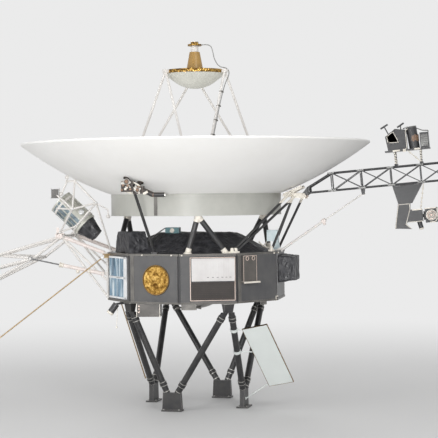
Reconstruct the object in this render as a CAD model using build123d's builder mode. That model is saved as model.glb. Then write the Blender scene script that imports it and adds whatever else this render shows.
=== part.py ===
"""Deep-space probe: a full-size display model that stands on its four-footed adapter.

Millimetres. +Z is up, along the dish axis. +X is the science boom, -X the generator boom.
The origin is on the dish axis, in the plane of the four feet.
"""

import os
from math import atan2, cos, degrees, hypot, radians, sin, sqrt

from build123d import *

# Bus: a ring of ten equipment bays
BAYS = 10
BAY_TURN = 360 / BAYS
BUS_BOTTOM = 1120
BUS_HEIGHT = 502
BUS_TOP = BUS_BOTTOM + BUS_HEIGHT
BUS_CORNER_R = 930
BUS_FLAT_R = BUS_CORNER_R * cos(radians(BAY_TURN / 2))
BUS_INNER_FLAT_R = 570
FIRST_CORNER = BAY_TURN / 2
PANEL_THICK = 10
PANEL_EDGE_GAP = 14
PANEL_RIM_GAP = 12
SEAT_GAP = 0.3

# Tank in the middle of the bus
TANK_R = 355
TANK_Z = BUS_BOTTOM + BUS_HEIGHT / 2
TANK_STRUTS = 5
TANK_STRUT_R = 12

# Stand
FOOT_CIRCLE_R = 545
FOOT_TURN = -18
FOOT_COUNT = 4
FOOT_WIDTH = 210
FOOT_TOP_WIDTH = 190
FOOT_HEIGHT = 190
FOOT_THICK = 46
FOOT_BASE_THICK = 16
FOOT_BASE_DEPTH = 120
FOOT_HOLE_R = 9
ADAPTER_TURN = -4.4
ADAPTER_TOP_R = 872
ADAPTER_TUBE_R = 32
COLLAR_R = 38
COLLAR_LENGTH = 40

# Dish
DISH_R = 1830
DISH_VERTEX_Z = 2076
DISH_FOCUS = 1235
DISH_WALL = 14
RIM_BEAD_R = 11
SKIRT_R = 894
SKIRT_WALL = 10
SKIRT_BOTTOM = 2000
HARD_POINT_TURN = 42
HARD_POINTS = 3
HARD_POINT_R = 886
BIPOD_TUBE_R = 28
BIPOD_SPREAD = 13.2
BIPOD_CENTRE = 48
BIPOD_FOOT_R = 850

# Feed above the dish
SUB_R = 327
SUB_RIM_Z = 3486
SUB_RIM_HEIGHT = 34
SUB_DEPTH = 156
APEX_PAD = 56
APEX_R = SUB_R + 0.3 + APEX_PAD / 2
APEX_TURN = 102
FEED_STRUT_R = 13
FEED_CONE_BOTTOM_R = 90
FEED_CONE_TOP_R = 54
FEED_CONE_HEIGHT = 196
FEED_NECK_R = 40
FEED_NECK_HEIGHT = 64
FEED_DISC_R = 72
FEED_DISC_THICK = 16
FEED_CAP_HEIGHT = 30
HORN_BASE_R = 150
HORN_BASE_HEIGHT = 210
HORN_TOP_R = 62
HORN_HEIGHT = 520

# Science boom, in its own slope
BOOM_HINGE_X = SKIRT_R + 256
BOOM_HINGE_Z = 2192
BOOM_SLOPE = 4.8
BOOM_BAY = 305
BOOM_BAYS = 7
BOOM_DEEP = 200
BOOM_TUBE_R = 10
BOOM_LACE = 9
BOOM_LIFT = 14
BOOM_LENGTH = BOOM_BAY * BOOM_BAYS
BOOM_AXIS_H = BOOM_LIFT + BOOM_DEEP / 2
BRACE_SLEEVE_SHARE = 0.53
BRACE_TUBE_R = 12
BRACE_WALL = 3
BRACE_ROD_R = 7
BRACE_OVERLAP = 150
BRACE_PLAY = 0.8

# Generator boom
RTG_HINGE_X = -1404
RTG_HINGE_Z = 1792
RTG_HALF_SPAN = 270
RTG_LOWER_X = -1725
RTG_LOWER_Z = 1557
RTG_START_X = -2330
RTG_START_Z = 1430
RTG_SLOPE = -8
RTG_LENGTH = 508
RTG_PITCH = 560
RTG_COUNT = 3
RTG_CASE_R = 150
RTG_FIN_R = 203
RTG_FINS = 6
RTG_TUBE_R = 15


def polar(radius, azimuth, z=0):
    """A point at a radius and an azimuth from the dish axis."""
    return Vector(radius * cos(radians(azimuth)), radius * sin(radians(azimuth)), z)


def rod(start, end, radius):
    """A round bar from one point to another, added to the open part."""
    run = Vector(*end) - Vector(*start)
    with BuildSketch(Plane(origin=start, z_dir=run)) as section:
        Circle(radius)
    extrude(section.sketch, amount=run.length)


def along(start, end, distance):
    """The point that lies a distance from start towards end."""
    start = Vector(*start)
    return start + (Vector(*end) - start).normalized() * distance


def clamp(centre, direction, bore, wall, length):
    """A ring round a bar, added to the open part."""
    direction = Vector(*direction).normalized()
    with BuildSketch(Plane(origin=Vector(*centre) - direction * (length / 2), z_dir=direction)) as section:
        Circle(bore + wall)
        Circle(bore, mode=Mode.SUBTRACT)
    extrude(section.sketch, amount=length)


def bore_out(start, end, radius):
    """A round hole from one point to another, cut from the open part."""
    run = Vector(*end) - Vector(*start)
    with BuildSketch(Plane(origin=start, z_dir=run)) as section:
        Circle(radius)
    extrude(section.sketch, amount=run.length, mode=Mode.SUBTRACT)


def save(part, label):
    """Names a finished piece and writes its file."""
    part.part.label = label
    export_step(part.part, f"parts/{label}.step")


def dish_z(radius):
    """Height of the dish's reflecting face at a radius."""
    return DISH_VERTEX_Z + radius**2 / (4 * DISH_FOCUS)


def dish_back_z(radius):
    """Height of the dish's back at a radius."""
    return dish_z(radius) - DISH_WALL * sqrt(1 + (radius / (2 * DISH_FOCUS)) ** 2)


os.makedirs("parts", exist_ok=True)

# Bus ring: ten closed bays round an open middle
with BuildPart() as bus_ring:
    with BuildSketch(Plane.XY.offset(BUS_BOTTOM)):
        RegularPolygon(BUS_CORNER_R, BAYS, rotation=FIRST_CORNER)
        RegularPolygon(BUS_INNER_FLAT_R, BAYS, major_radius=False, rotation=FIRST_CORNER, mode=Mode.SUBTRACT)
    extrude(amount=BUS_HEIGHT)
save(bus_ring, "bus_ring")

PANEL_WIDTH = 2 * BUS_CORNER_R * sin(radians(BAY_TURN / 2)) - 2 * PANEL_EDGE_GAP
PANEL_HEIGHT = BUS_HEIGHT - 2 * PANEL_RIM_GAP


def bay_plane(azimuth, out=0.0):
    """Plane on a bay's outer face: x runs round the bus, y up, z outwards."""
    origin = polar(BUS_FLAT_R + SEAT_GAP + out, azimuth, BUS_BOTTOM + BUS_HEIGHT / 2)
    return Plane(origin=origin, x_dir=polar(1, azimuth + 90), z_dir=polar(1, azimuth))


with BuildPart() as bay_panels:
    for bay in range(BAYS):
        with BuildSketch(bay_plane(bay * BAY_TURN)):
            RectangleRounded(PANEL_WIDTH, PANEL_HEIGHT, 12)
        extrude(amount=PANEL_THICK)
save(bay_panels, "bay_panels")

# Tank, held by short struts from the ring
with BuildPart() as propellant_tank:
    with Locations((0, 0, TANK_Z)):
        Sphere(TANK_R)
    for turn in range(TANK_STRUTS):
        azimuth = turn * 360 / TANK_STRUTS
        rod(polar(TANK_R - 30, azimuth, TANK_Z), polar(BUS_INNER_FLAT_R - SEAT_GAP, azimuth, TANK_Z), TANK_STRUT_R)
save(propellant_tank, "propellant_tank")

# Blanket tent over the bus, with an angular box of blanket over its left bays
TENT_R = 800
TENT_TOP_R = 430
TENT_HEIGHT = 190
TENT_WALL = 10
LUMP_LOW = ((-800, -336), (-560, -680), (-380, -560), (-680, -240))
LUMP_HIGH = ((-770, -360), (-590, -636), (-430, -520), (-670, -280))
LUMP_HEIGHT = 218
tent_z = BUS_TOP + SEAT_GAP
with BuildPart() as top_blanket:
    with BuildSketch(Plane.XY.offset(tent_z)):
        RegularPolygon(TENT_R, BAYS, rotation=FIRST_CORNER)
    with BuildSketch(Plane.XY.offset(tent_z + TENT_HEIGHT)):
        RegularPolygon(TENT_TOP_R, BAYS, rotation=FIRST_CORNER)
    loft()
    with BuildSketch(Plane.XY.offset(tent_z)):
        with BuildLine():
            Polyline(*LUMP_LOW, close=True)
        make_face()
    with BuildSketch(Plane.XY.offset(tent_z + LUMP_HEIGHT)):
        with BuildLine():
            Polyline(*LUMP_HIGH, close=True)
        make_face()
    loft()
    with BuildSketch(Plane.XY.offset(tent_z)):
        RegularPolygon(TENT_R - TENT_WALL, BAYS, rotation=FIRST_CORNER)
    with BuildSketch(Plane.XY.offset(tent_z + TENT_HEIGHT - TENT_WALL)):
        RegularPolygon(TENT_TOP_R - TENT_WALL, BAYS, rotation=FIRST_CORNER)
    loft(mode=Mode.SUBTRACT)
save(top_blanket, "top_blanket")

# Units on top of the bus: a teal box on the tent, a pale cube on two brackets
TEAL_BOX = (146, 100, 62)
CUBE_SIZE = 116
CUBE_CENTRE = Vector(800, 96, 1776)
tent_top = tent_z + TENT_HEIGHT + SEAT_GAP
with BuildPart() as top_units:
    with Locations((-205, -230, tent_top + TEAL_BOX[2] / 2)):
        Box(*TEAL_BOX)
    with Locations(CUBE_CENTRE):
        Box(CUBE_SIZE, CUBE_SIZE, CUBE_SIZE)
    for y in (CUBE_CENTRE.Y - 44, CUBE_CENTRE.Y + 44):
        with BuildSketch(Plane(origin=(0, y + 4, 0), x_dir=(1, 0, 0), z_dir=(0, -1, 0))):
            with BuildLine():
                Polyline((812, tent_z), (872, tent_z), (872, tent_z + 14), (850, 1760), (800, 1760), close=True)
            make_face()
        extrude(amount=8)
save(top_units, "top_units")

# Things on the bay faces: round gilded plate, louvre sets, boxes
DISC_BAY = 252
DISC_R = 152
DISC_THICK = 12
DISC_DOWN = 10
DISC_SHIFT = 28
with BuildPart() as gilded_disc:
    with BuildSketch(bay_plane(DISC_BAY, PANEL_THICK + SEAT_GAP)):
        with Locations((DISC_SHIFT, -DISC_DOWN)):
            Circle(DISC_R)
    extrude(amount=DISC_THICK)
save(gilded_disc, "gilded_disc")

LOUVRE_BAY = 288
LOUVRE_WIDTH = 430
LOUVRE_HEIGHT = 225
LOUVRE_UP = 92
LOUVRE_SHIFT = 50
LOUVRE_BACK = 8
BLADE_COUNT = 16
BLADE_THICK = 10
BLADE_DEEP = 18
with BuildPart() as louvre_set:
    with BuildSketch(bay_plane(LOUVRE_BAY, PANEL_THICK + SEAT_GAP)):
        with Locations((LOUVRE_SHIFT, LOUVRE_UP)):
            Rectangle(LOUVRE_WIDTH, LOUVRE_HEIGHT)
    extrude(amount=LOUVRE_BACK)
    with BuildSketch(bay_plane(LOUVRE_BAY, PANEL_THICK + SEAT_GAP + LOUVRE_BACK)):
        with Locations((LOUVRE_SHIFT, LOUVRE_UP)):
            with GridLocations(LOUVRE_WIDTH / BLADE_COUNT, 0, BLADE_COUNT, 1):
                Rectangle(BLADE_THICK, LOUVRE_HEIGHT - 16)
    extrude(amount=BLADE_DEEP)
save(louvre_set, "louvre_set")

WINDOW_BAY = 216
WINDOW_SHIFT = 18
WINDOW_WIDTH = 440
WINDOW_HEIGHT = 430
WINDOW_FRAME = 24
WINDOW_THICK = 22
with BuildPart() as window_louvres:
    with BuildSketch(bay_plane(WINDOW_BAY, PANEL_THICK + SEAT_GAP)):
        with Locations((WINDOW_SHIFT, 0)):
            Rectangle(WINDOW_WIDTH, WINDOW_HEIGHT)
    extrude(amount=WINDOW_THICK)
    with BuildSketch(bay_plane(WINDOW_BAY, PANEL_THICK + SEAT_GAP + WINDOW_THICK)):
        with Locations((WINDOW_SHIFT, 0)):
            with GridLocations(0, (WINDOW_HEIGHT - WINDOW_FRAME) / 2, 1, 2):
                Rectangle(WINDOW_WIDTH - 2 * WINDOW_FRAME, (WINDOW_HEIGHT - 3 * WINDOW_FRAME) / 2)
    extrude(amount=-WINDOW_THICK + 6, mode=Mode.SUBTRACT)
save(window_louvres, "window_louvres")

BAY_BOX_BAY = 324
BAY_BOX_AT = (-126, 95)
BAY_BOX_SIZE = (190, 260)
BAY_BOX_DEEP = 24
SILL_AT = (-118, -44)
SILL_SIZE = (230, 14)
SILL_DEEP = 44
with BuildPart() as bay_box:
    with BuildSketch(bay_plane(BAY_BOX_BAY, PANEL_THICK + SEAT_GAP)):
        with Locations(BAY_BOX_AT):
            Rectangle(*BAY_BOX_SIZE)
    extrude(amount=BAY_BOX_DEEP)
    with BuildSketch(bay_plane(BAY_BOX_BAY, PANEL_THICK + SEAT_GAP)):
        with Locations(SILL_AT):
            Rectangle(*SILL_SIZE)
    extrude(amount=SILL_DEEP)
save(bay_box, "bay_box")

BLANKET_BOX_SIZE = (420, 280)
BLANKET_BOX_UP = 70
BLANKET_BOX_DEEP = 170
with BuildPart() as blanket_box:
    with BuildSketch(bay_plane(0, PANEL_THICK + SEAT_GAP)):
        with Locations((0, BLANKET_BOX_UP)):
            RectangleRounded(*BLANKET_BOX_SIZE, 30)
    extrude(amount=BLANKET_BOX_DEEP, taper=6)
save(blanket_box, "blanket_box")

# Under the bus: an equipment box, thruster clusters
UNDER_BOX = (240, 150, 132)
UNDER_BOX_R = 812
UNDER_BOX_AZIMUTH = 244.2
UNDER_BOX_FACE = 275
with BuildPart() as under_box:
    spot = polar(UNDER_BOX_R, UNDER_BOX_AZIMUTH, BUS_BOTTOM - SEAT_GAP - UNDER_BOX[2] / 2)
    with Locations(Plane(origin=spot, x_dir=polar(1, UNDER_BOX_FACE + 90), z_dir=(0, 0, 1))):
        Box(*UNDER_BOX)
save(under_box, "under_box")

THRUSTER_AZIMUTHS = (12, 100, 192, 274)
THRUSTER_R = 700
THRUSTER_BODY = (60, 150, 70)
NOZZLE_R = 18
NOZZLE_LENGTH = 50
with BuildPart() as thrusters:
    for azimuth in THRUSTER_AZIMUTHS:
        top = BUS_BOTTOM - SEAT_GAP
        with BuildSketch(Plane(origin=polar(THRUSTER_R, azimuth, top), x_dir=polar(1, azimuth), z_dir=(0, 0, -1))):
            Rectangle(THRUSTER_BODY[0], THRUSTER_BODY[1])
        extrude(amount=THRUSTER_BODY[2])
        for side in (-1, 1):
            tip = polar(THRUSTER_R, azimuth, top - 45) + polar(side * THRUSTER_BODY[1] / 2, azimuth + 90)
            with BuildSketch(Plane(origin=tip, z_dir=polar(side, azimuth + 90))):
                Circle(8)
            mouth = tip + polar(side * NOZZLE_LENGTH, azimuth + 90)
            with BuildSketch(Plane(origin=mouth, z_dir=polar(side, azimuth + 90))):
                Circle(NOZZLE_R)
            loft()
save(thrusters, "thrusters")

# Stand: four fittings under the bus, eight tubes, four feet
TOP_NODES = (54, 126, 234, 306)
FITTING_HEIGHT = 90
FITTING_SIZE = 110
FOOT_NODES = ((0, (306, 54)), (1, (54, 126)), (2, (126, 234)), (3, (234, 306)))
TUBE_FOOT_SIDE = 58
TUBE_HEAD_SIDE = 36
COLLAR_FROM_FOOT = 80
COLLAR_FROM_HEAD = 60
with BuildPart() as adapter_fittings:
    for node in TOP_NODES:
        azimuth = node + ADAPTER_TURN
        with BuildSketch(Plane(origin=polar(ADAPTER_TOP_R, azimuth, BUS_BOTTOM - SEAT_GAP), x_dir=polar(1, azimuth),
                               z_dir=(0, 0, -1))):
            Rectangle(FITTING_SIZE * 0.7, FITTING_SIZE)
        extrude(amount=FITTING_HEIGHT, taper=8)
save(adapter_fittings, "adapter_fittings")

with BuildPart() as adapter_feet:
    for foot in range(FOOT_COUNT):
        centre = polar(FOOT_CIRCLE_R, FOOT_TURN + 90 * foot)
        face = ADAPTER_TURN + 90 * foot
        with BuildSketch(Plane(origin=centre, x_dir=polar(1, face), z_dir=(0, 0, 1))):
            Rectangle(FOOT_BASE_DEPTH, FOOT_WIDTH)
        extrude(amount=FOOT_BASE_THICK)
        with BuildSketch(Plane(origin=centre - polar(FOOT_THICK / 2, face), x_dir=polar(1, face + 90),
                               z_dir=polar(1, face))):
            with BuildLine():
                Polyline((-FOOT_WIDTH / 2, 0), (FOOT_WIDTH / 2, 0), (FOOT_TOP_WIDTH / 2, FOOT_HEIGHT),
                         (-FOOT_TOP_WIDTH / 2, FOOT_HEIGHT), close=True)
            make_face()
        extrude(amount=FOOT_THICK)
        with BuildSketch(Plane(origin=centre, z_dir=(0, 0, 1))):
            Circle(FOOT_HOLE_R)
        extrude(amount=FOOT_BASE_THICK + 40, mode=Mode.SUBTRACT)
save(adapter_feet, "adapter_feet")


def stand_tube(foot, side, node):
    """The two ends of a stand tube's axis."""
    low = polar(FOOT_CIRCLE_R, FOOT_TURN + 90 * foot, FOOT_HEIGHT + SEAT_GAP)
    low = low + polar(side * TUBE_FOOT_SIDE, ADAPTER_TURN + 90 * foot + 90)
    azimuth = node + ADAPTER_TURN
    high = polar(ADAPTER_TOP_R, azimuth, BUS_BOTTOM - FITTING_HEIGHT - SEAT_GAP)
    return low, high + polar(-side * TUBE_HEAD_SIDE, azimuth + 90)


with BuildPart() as adapter_struts:
    for foot, nodes in FOOT_NODES:
        for side, node in zip((-1, 1), nodes):
            low, high = stand_tube(foot, side, node)
            tilt = (high - low).normalized()
            reach = ADAPTER_TUBE_R * sqrt(1 - tilt.Z**2) / tilt.Z
            rod(low - tilt * reach, high + tilt * reach, ADAPTER_TUBE_R)
            for trim in (low - Vector(0, 0, ADAPTER_TUBE_R), high + Vector(0, 0, ADAPTER_TUBE_R)):
                with Locations(trim):
                    Box(4 * ADAPTER_TUBE_R, 4 * ADAPTER_TUBE_R, 2 * ADAPTER_TUBE_R, mode=Mode.SUBTRACT)
            rod(low + tilt * COLLAR_FROM_FOOT, low + tilt * (COLLAR_FROM_FOOT + COLLAR_LENGTH), COLLAR_R)
            rod(high - tilt * (COLLAR_FROM_HEAD + COLLAR_LENGTH), high - tilt * COLLAR_FROM_HEAD, COLLAR_R)
save(adapter_struts, "adapter_struts")

# White target plate beside the stand
PLATE_CORNER = Vector(594, -649, 858)
PLATE_SHORT = Vector(261, -55, 56)
PLATE_LONG = Vector(190, 394, -625)
PLATE_THICK = 14
PLATE_WIDTH = PLATE_SHORT.length
PLATE_LENGTH = PLATE_LONG.length
plate_normal = PLATE_SHORT.cross(PLATE_LONG).normalized()
plate_centre = PLATE_CORNER + PLATE_SHORT * 0.5 + PLATE_LONG * 0.5
plate_plane = Plane(origin=plate_centre, x_dir=PLATE_SHORT, z_dir=plate_normal)
STAY_R = 6
STAY_CLAMPS = ((0.78, 0.02), (0.5, 0.4))
FOOT_PAD = (-34, 96)
stay_low, stay_high = stand_tube(0, -1, 306)
stay_run = stay_high - stay_low
pad_at = polar(FOOT_CIRCLE_R, FOOT_TURN, FOOT_PAD[1]) + polar(FOOT_THICK / 2 + SEAT_GAP, ADAPTER_TURN)
pad_at = pad_at + polar(FOOT_PAD[0], ADAPTER_TURN + 90)
with BuildPart() as target_plate:
    with BuildSketch(plate_plane):
        Rectangle(PLATE_WIDTH, PLATE_LENGTH)
    extrude(amount=PLATE_THICK / 2, both=True)
    for strut_share, edge_share in STAY_CLAMPS:
        ring_at = stay_low + stay_run * strut_share
        edge = PLATE_CORNER + PLATE_SHORT * 0.05 + PLATE_LONG * edge_share
        clamp(ring_at, stay_run, ADAPTER_TUBE_R + SEAT_GAP, 6, 30)
        rod(along(ring_at, edge, ADAPTER_TUBE_R + 4), edge, STAY_R)
    edge = PLATE_CORNER + PLATE_SHORT * 0.05 + PLATE_LONG * 0.96
    with BuildSketch(Plane(origin=pad_at, z_dir=polar(1, ADAPTER_TURN))):
        Circle(16)
    extrude(amount=8)
    rod(pad_at + polar(4, ADAPTER_TURN), edge, STAY_R)
save(target_plate, "target_plate")

# Dish: a thin paraboloid with a bead at the rim, and the ring it stands on
REFLECTOR_STEPS = (0, 0.25, SKIRT_R / DISH_R, 0.75, 1)
inner = [(DISH_R * share, dish_z(DISH_R * share)) for share in REFLECTOR_STEPS]
outer = [(DISH_R * share, dish_back_z(DISH_R * share)) for share in REFLECTOR_STEPS]
with BuildPart() as dish_reflector:
    with BuildSketch(Plane.XZ):
        with BuildLine():
            for points in (inner, outer):
                face = TangentArc(points[0], points[1], tangent=(1, 0))
                for start, end in zip(points[1:], points[2:]):
                    face = TangentArc(start, end, tangent=face % 1)
            Line(inner[-1], outer[-1])
            Line(outer[0], inner[0])
        make_face()
        with Locations((DISH_R - RIM_BEAD_R + 2, (inner[-1][1] + outer[-1][1]) / 2)):
            Circle(RIM_BEAD_R)
    revolve(axis=Axis.Z)
save(dish_reflector, "dish_reflector")

skirt_in = SKIRT_R - SKIRT_WALL
with BuildPart() as dish_skirt:
    with BuildSketch(Plane.XZ):
        with BuildLine():
            Polyline((skirt_in, SKIRT_BOTTOM), (SKIRT_R, SKIRT_BOTTOM),
                     (SKIRT_R, dish_back_z(SKIRT_R) - 2 * SEAT_GAP),
                     (skirt_in, dish_back_z(skirt_in) - 2 * SEAT_GAP), close=True)
        make_face()
    revolve(axis=Axis.Z)
save(dish_skirt, "dish_skirt")

APEX_BLOCK = 60
APEX_OUT = skirt_in - 1 - APEX_BLOCK / 2
with BuildPart() as dish_bipods:
    for point in range(HARD_POINTS):
        apex = polar(APEX_OUT, HARD_POINT_TURN + 120 * point, SKIRT_BOTTOM)
        for side in (-1, 1):
            azimuth = BIPOD_CENTRE + 120 * point + side * BIPOD_SPREAD
            foot = polar(BIPOD_FOOT_R, azimuth, BUS_TOP + SEAT_GAP)
            lean = (apex - foot).normalized()
            rod(foot + lean * BIPOD_TUBE_R * sqrt(1 - lean.Z**2) / lean.Z, apex, BIPOD_TUBE_R)
        with Locations(Plane(origin=apex, x_dir=polar(1, HARD_POINT_TURN + 120 * point), z_dir=(0, 0, 1))):
            Box(APEX_BLOCK, APEX_BLOCK, APEX_BLOCK)
save(dish_bipods, "dish_bipods")

# Feed: horn at the bottom of the dish, hexapod, mirror and upper horn
with BuildPart() as feed_horn:
    with BuildSketch(Plane.XZ):
        with BuildLine():
            Polyline((0, dish_z(HORN_BASE_R) + SEAT_GAP), (HORN_BASE_R, dish_z(HORN_BASE_R) + SEAT_GAP),
                     (HORN_BASE_R, dish_z(0) + HORN_BASE_HEIGHT), (HORN_TOP_R, dish_z(0) + HORN_HEIGHT),
                     (0, dish_z(0) + HORN_HEIGHT), close=True)
        make_face()
    revolve(axis=Axis.Z)
save(feed_horn, "feed_horn")

with BuildPart() as subreflector:
    with BuildSketch(Plane.XZ):
        with BuildLine():
            shoulder = (SUB_R * 0.6, SUB_RIM_Z - SUB_DEPTH * 0.62)
            bowl = TangentArc((0, SUB_RIM_Z - SUB_DEPTH), shoulder, tangent=(1, 0))
            Line(bowl @ 1, (SUB_R, SUB_RIM_Z))
            Line((SUB_R, SUB_RIM_Z), (SUB_R, SUB_RIM_Z + SUB_RIM_HEIGHT))
            Line((SUB_R, SUB_RIM_Z + SUB_RIM_HEIGHT), (0, SUB_RIM_Z + SUB_RIM_HEIGHT))
            Line((0, SUB_RIM_Z + SUB_RIM_HEIGHT), bowl @ 0)
        make_face()
    revolve(axis=Axis.Z)
save(subreflector, "subreflector")

cone_z = SUB_RIM_Z + SUB_RIM_HEIGHT + SEAT_GAP
neck_z = cone_z + FEED_CONE_HEIGHT
disc_z = neck_z + FEED_NECK_HEIGHT
cap_z = disc_z + FEED_DISC_THICK
with BuildPart() as upper_feed:
    with BuildSketch(Plane.XZ):
        with BuildLine():
            Polyline((0, cone_z), (FEED_CONE_BOTTOM_R, cone_z), (FEED_CONE_TOP_R, neck_z), (FEED_NECK_R, neck_z),
                     (FEED_NECK_R, disc_z), (FEED_DISC_R, disc_z), (FEED_DISC_R, cap_z), (FEED_NECK_R, cap_z),
                     (FEED_NECK_R, cap_z + FEED_CAP_HEIGHT), (0, cap_z + FEED_CAP_HEIGHT), close=True)
        make_face()
    revolve(axis=Axis.Z)
save(upper_feed, "upper_feed")

FOOT_PAD_R = 26
with BuildPart() as feed_struts:
    for point in range(HARD_POINTS):
        apex = polar(APEX_R, APEX_TURN + 120 * point, SUB_RIM_Z + SUB_RIM_HEIGHT / 2)
        for side in (-1, 1):
            azimuth = APEX_TURN + 120 * point + side * 60
            foot = polar(HARD_POINT_R, azimuth) + polar(side * -30, azimuth + 90)
            foot_r = hypot(foot.X, foot.Y)
            foot = Vector(foot.X, foot.Y, dish_z(foot_r))
            upright = Vector(-foot.X / (2 * DISH_FOCUS), -foot.Y / (2 * DISH_FOCUS), 1).normalized()
            with BuildSketch(Plane(origin=foot + upright * 0.8, z_dir=upright)):
                Circle(FOOT_PAD_R)
            extrude(amount=12)
            rod(foot + upright * 8, apex, FEED_STRUT_R)
        with Locations(Plane(origin=apex, x_dir=polar(1, APEX_TURN + 120 * point), z_dir=(0, 0, 1))):
            Box(APEX_PAD, 46, SUB_RIM_HEIGHT)
save(feed_struts, "feed_struts")

# Feed cable: from the upper feed over the mirror's edge and down a strut
COAX_R = 5
coax_apex = polar(APEX_R, APEX_TURN + 240, SUB_RIM_Z + SUB_RIM_HEIGHT / 2)
coax_foot = polar(HARD_POINT_R, APEX_TURN + 180, dish_z(HARD_POINT_R)) + polar(30, APEX_TURN + 270)
coax_run = coax_foot - coax_apex
COAX_SIDE = Vector(0, 0, 1).cross(coax_run).normalized() * (FEED_STRUT_R + COAX_R + 2)
COAX_ROUTE = (
    Vector(FEED_DISC_R + 1, 0, disc_z + 8),
    Vector(168, -6, disc_z + 18),
    Vector(196, -14, disc_z - 60),
    Vector(214, -26, disc_z - 150),
    Vector(270, -50, SUB_RIM_Z + 62),
    Vector(356, -66, SUB_RIM_Z + 50),
    Vector(392, -92, SUB_RIM_Z - 12),
    coax_apex + coax_run * 0.14 + COAX_SIDE,
    coax_apex + coax_run * 0.55 + COAX_SIDE,
    coax_apex + coax_run * 0.92 + COAX_SIDE,
)
with BuildPart() as feed_coax:
    for start, end in zip(COAX_ROUTE, COAX_ROUTE[1:]):
        rod(start, end, COAX_R)
    for bend in COAX_ROUTE[1:-1]:
        with Locations(bend):
            Sphere(COAX_R + 0.6)
save(feed_coax, "feed_coax")

# Sensor pack under the dish's near side, with the strut that steadies it
SENSOR_PADS = ((1262, 248.3), (1176, 253.4))
SENSOR_BLOCKS = (((-452, -1172, 2296), (120, 90, 104)), ((-352, -1138, 2262), (96, 84, 76)))
SENSOR_STRUT = ((-395, -1150, 2246), (868, 251.8))
with BuildPart() as dish_sensor:
    for (pad_r, azimuth), (centre, size) in zip(SENSOR_PADS, SENSOR_BLOCKS):
        with Locations(centre):
            Box(*size)
        slope = pad_r / (2 * DISH_FOCUS)
        down = (polar(slope, azimuth) - Vector(0, 0, 1)).normalized()
        pad = polar(pad_r, azimuth, dish_back_z(pad_r)) + down * 1.2
        with BuildSketch(Plane(origin=pad, z_dir=down)):
            Circle(30)
        extrude(amount=10)
        rod(pad + down * 6, centre, 12)
    rod((-452, -1172, 2268), (-352, -1138, 2262), 14)
    rod((-370, -1160, 2290), (-211, -1141, 2216), 25)
    rod((-222, -1142, 2216), (-90, -1117, 2214), 22)
    rod((-452, -1172, 2345), (-452, -1232, 2345), 30)
    rod((-352, -1138, 2262), (-352, -1200, 2262), 26)
    strut_foot = polar(*SENSOR_STRUT[1], BUS_TOP + SEAT_GAP)
    rod(strut_foot + Vector(0, 0, 9), SENSOR_STRUT[0], 15)
    with BuildSketch(Plane(origin=strut_foot, z_dir=(0, 0, 1))):
        Rectangle(60, 44)
    extrude(amount=18)
save(dish_sensor, "dish_sensor")


def boom_at(s, y=0.0, h=0.0):
    """A point on the science boom: s along its slope from the hinge, y sideways, h square to it."""
    slope = radians(BOOM_SLOPE)
    return Vector(BOOM_HINGE_X + s * cos(slope) - h * sin(slope), y, BOOM_HINGE_Z + s * sin(slope) + h * cos(slope))


BOOM_DIR = boom_at(1) - boom_at(0)
BOOM_UP = boom_at(0, 0, 1) - boom_at(0)


def boom_plane(s, y=0.0, h=0.0):
    """Plane square to the boom: its z runs outwards along the boom, x sideways, y up."""
    return Plane(origin=boom_at(s, y, h), x_dir=(0, 1, 0), z_dir=BOOM_DIR)


def boom_flat(s, y=0.0, h=0.0):
    """Plane along the boom: its x runs outwards, y sideways, z up."""
    return Plane(origin=boom_at(s, y, h), x_dir=BOOM_DIR, z_dir=BOOM_UP)


# Root bracket of the science boom, on four struts from the bus
HINGE_PIN_R = 9
BRACE_PIN_R = 8
PIN_PLAY = 0.4
ROOT_HALF = BOOM_DEEP / 2 + 24
ROOT_STRUT_R = 13
ROOT_FOOT_R = 878
ROOT_OUTLINE = ((-216, -6), (-206, 24), (-24, 108), (-6, 82), (-104, 34), (18, 22), (32, -6), (16, -32))
ROOT_BAR = (-130, 26)
ROOT_BAR_HALF = ROOT_HALF + 54
# Struts: azimuth of the foot, y at the bracket, place along and over the hinge
ROOT_STRUTS = (
    (-55.2, -ROOT_BAR_HALF + 4, ROOT_BAR),
    (-52.6, -ROOT_HALF, (-90, -10)),
    (-18, -ROOT_HALF, (-98, 8)),
    (30, ROOT_BAR_HALF - 4, ROOT_BAR),
    (18, ROOT_HALF, (-30, -6)),
)
BRACE_FOOT = Vector(BUS_FLAT_R + 19, 0, BUS_TOP + 4)
CLEVIS_HALF = 17
LUG_HALF = 12
with BuildPart() as boom_root:
    for side in (-1, 1):
        plate_at = (BOOM_HINGE_X, side * ROOT_HALF, BOOM_HINGE_Z)
        with BuildSketch(Plane(origin=plate_at, x_dir=(1, 0, 0), z_dir=(0, -1, 0))):
            with BuildLine():
                Polyline(*ROOT_OUTLINE, close=True)
            make_face()
        extrude(amount=6, both=True)
    bar_x = BOOM_HINGE_X + ROOT_BAR[0]
    bar_z = BOOM_HINGE_Z + ROOT_BAR[1]
    rod((bar_x, -ROOT_BAR_HALF, bar_z), (bar_x, ROOT_BAR_HALF, bar_z), 16)
    rod((BOOM_HINGE_X, -ROOT_HALF, BOOM_HINGE_Z), (BOOM_HINGE_X, ROOT_HALF, BOOM_HINGE_Z), HINGE_PIN_R)
    for azimuth, y, (along_x, up_z) in ROOT_STRUTS:
        foot = polar(ROOT_FOOT_R, azimuth, BUS_TOP + SEAT_GAP)
        rod(foot + Vector(0, 0, ROOT_STRUT_R), (BOOM_HINGE_X + along_x, y, BOOM_HINGE_Z + up_z), ROOT_STRUT_R)
        with BuildSketch(Plane(origin=foot, x_dir=polar(1, azimuth), z_dir=(0, 0, 1))):
            Rectangle(44, 64)
        extrude(amount=18)
save(boom_root, "boom_root")

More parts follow.
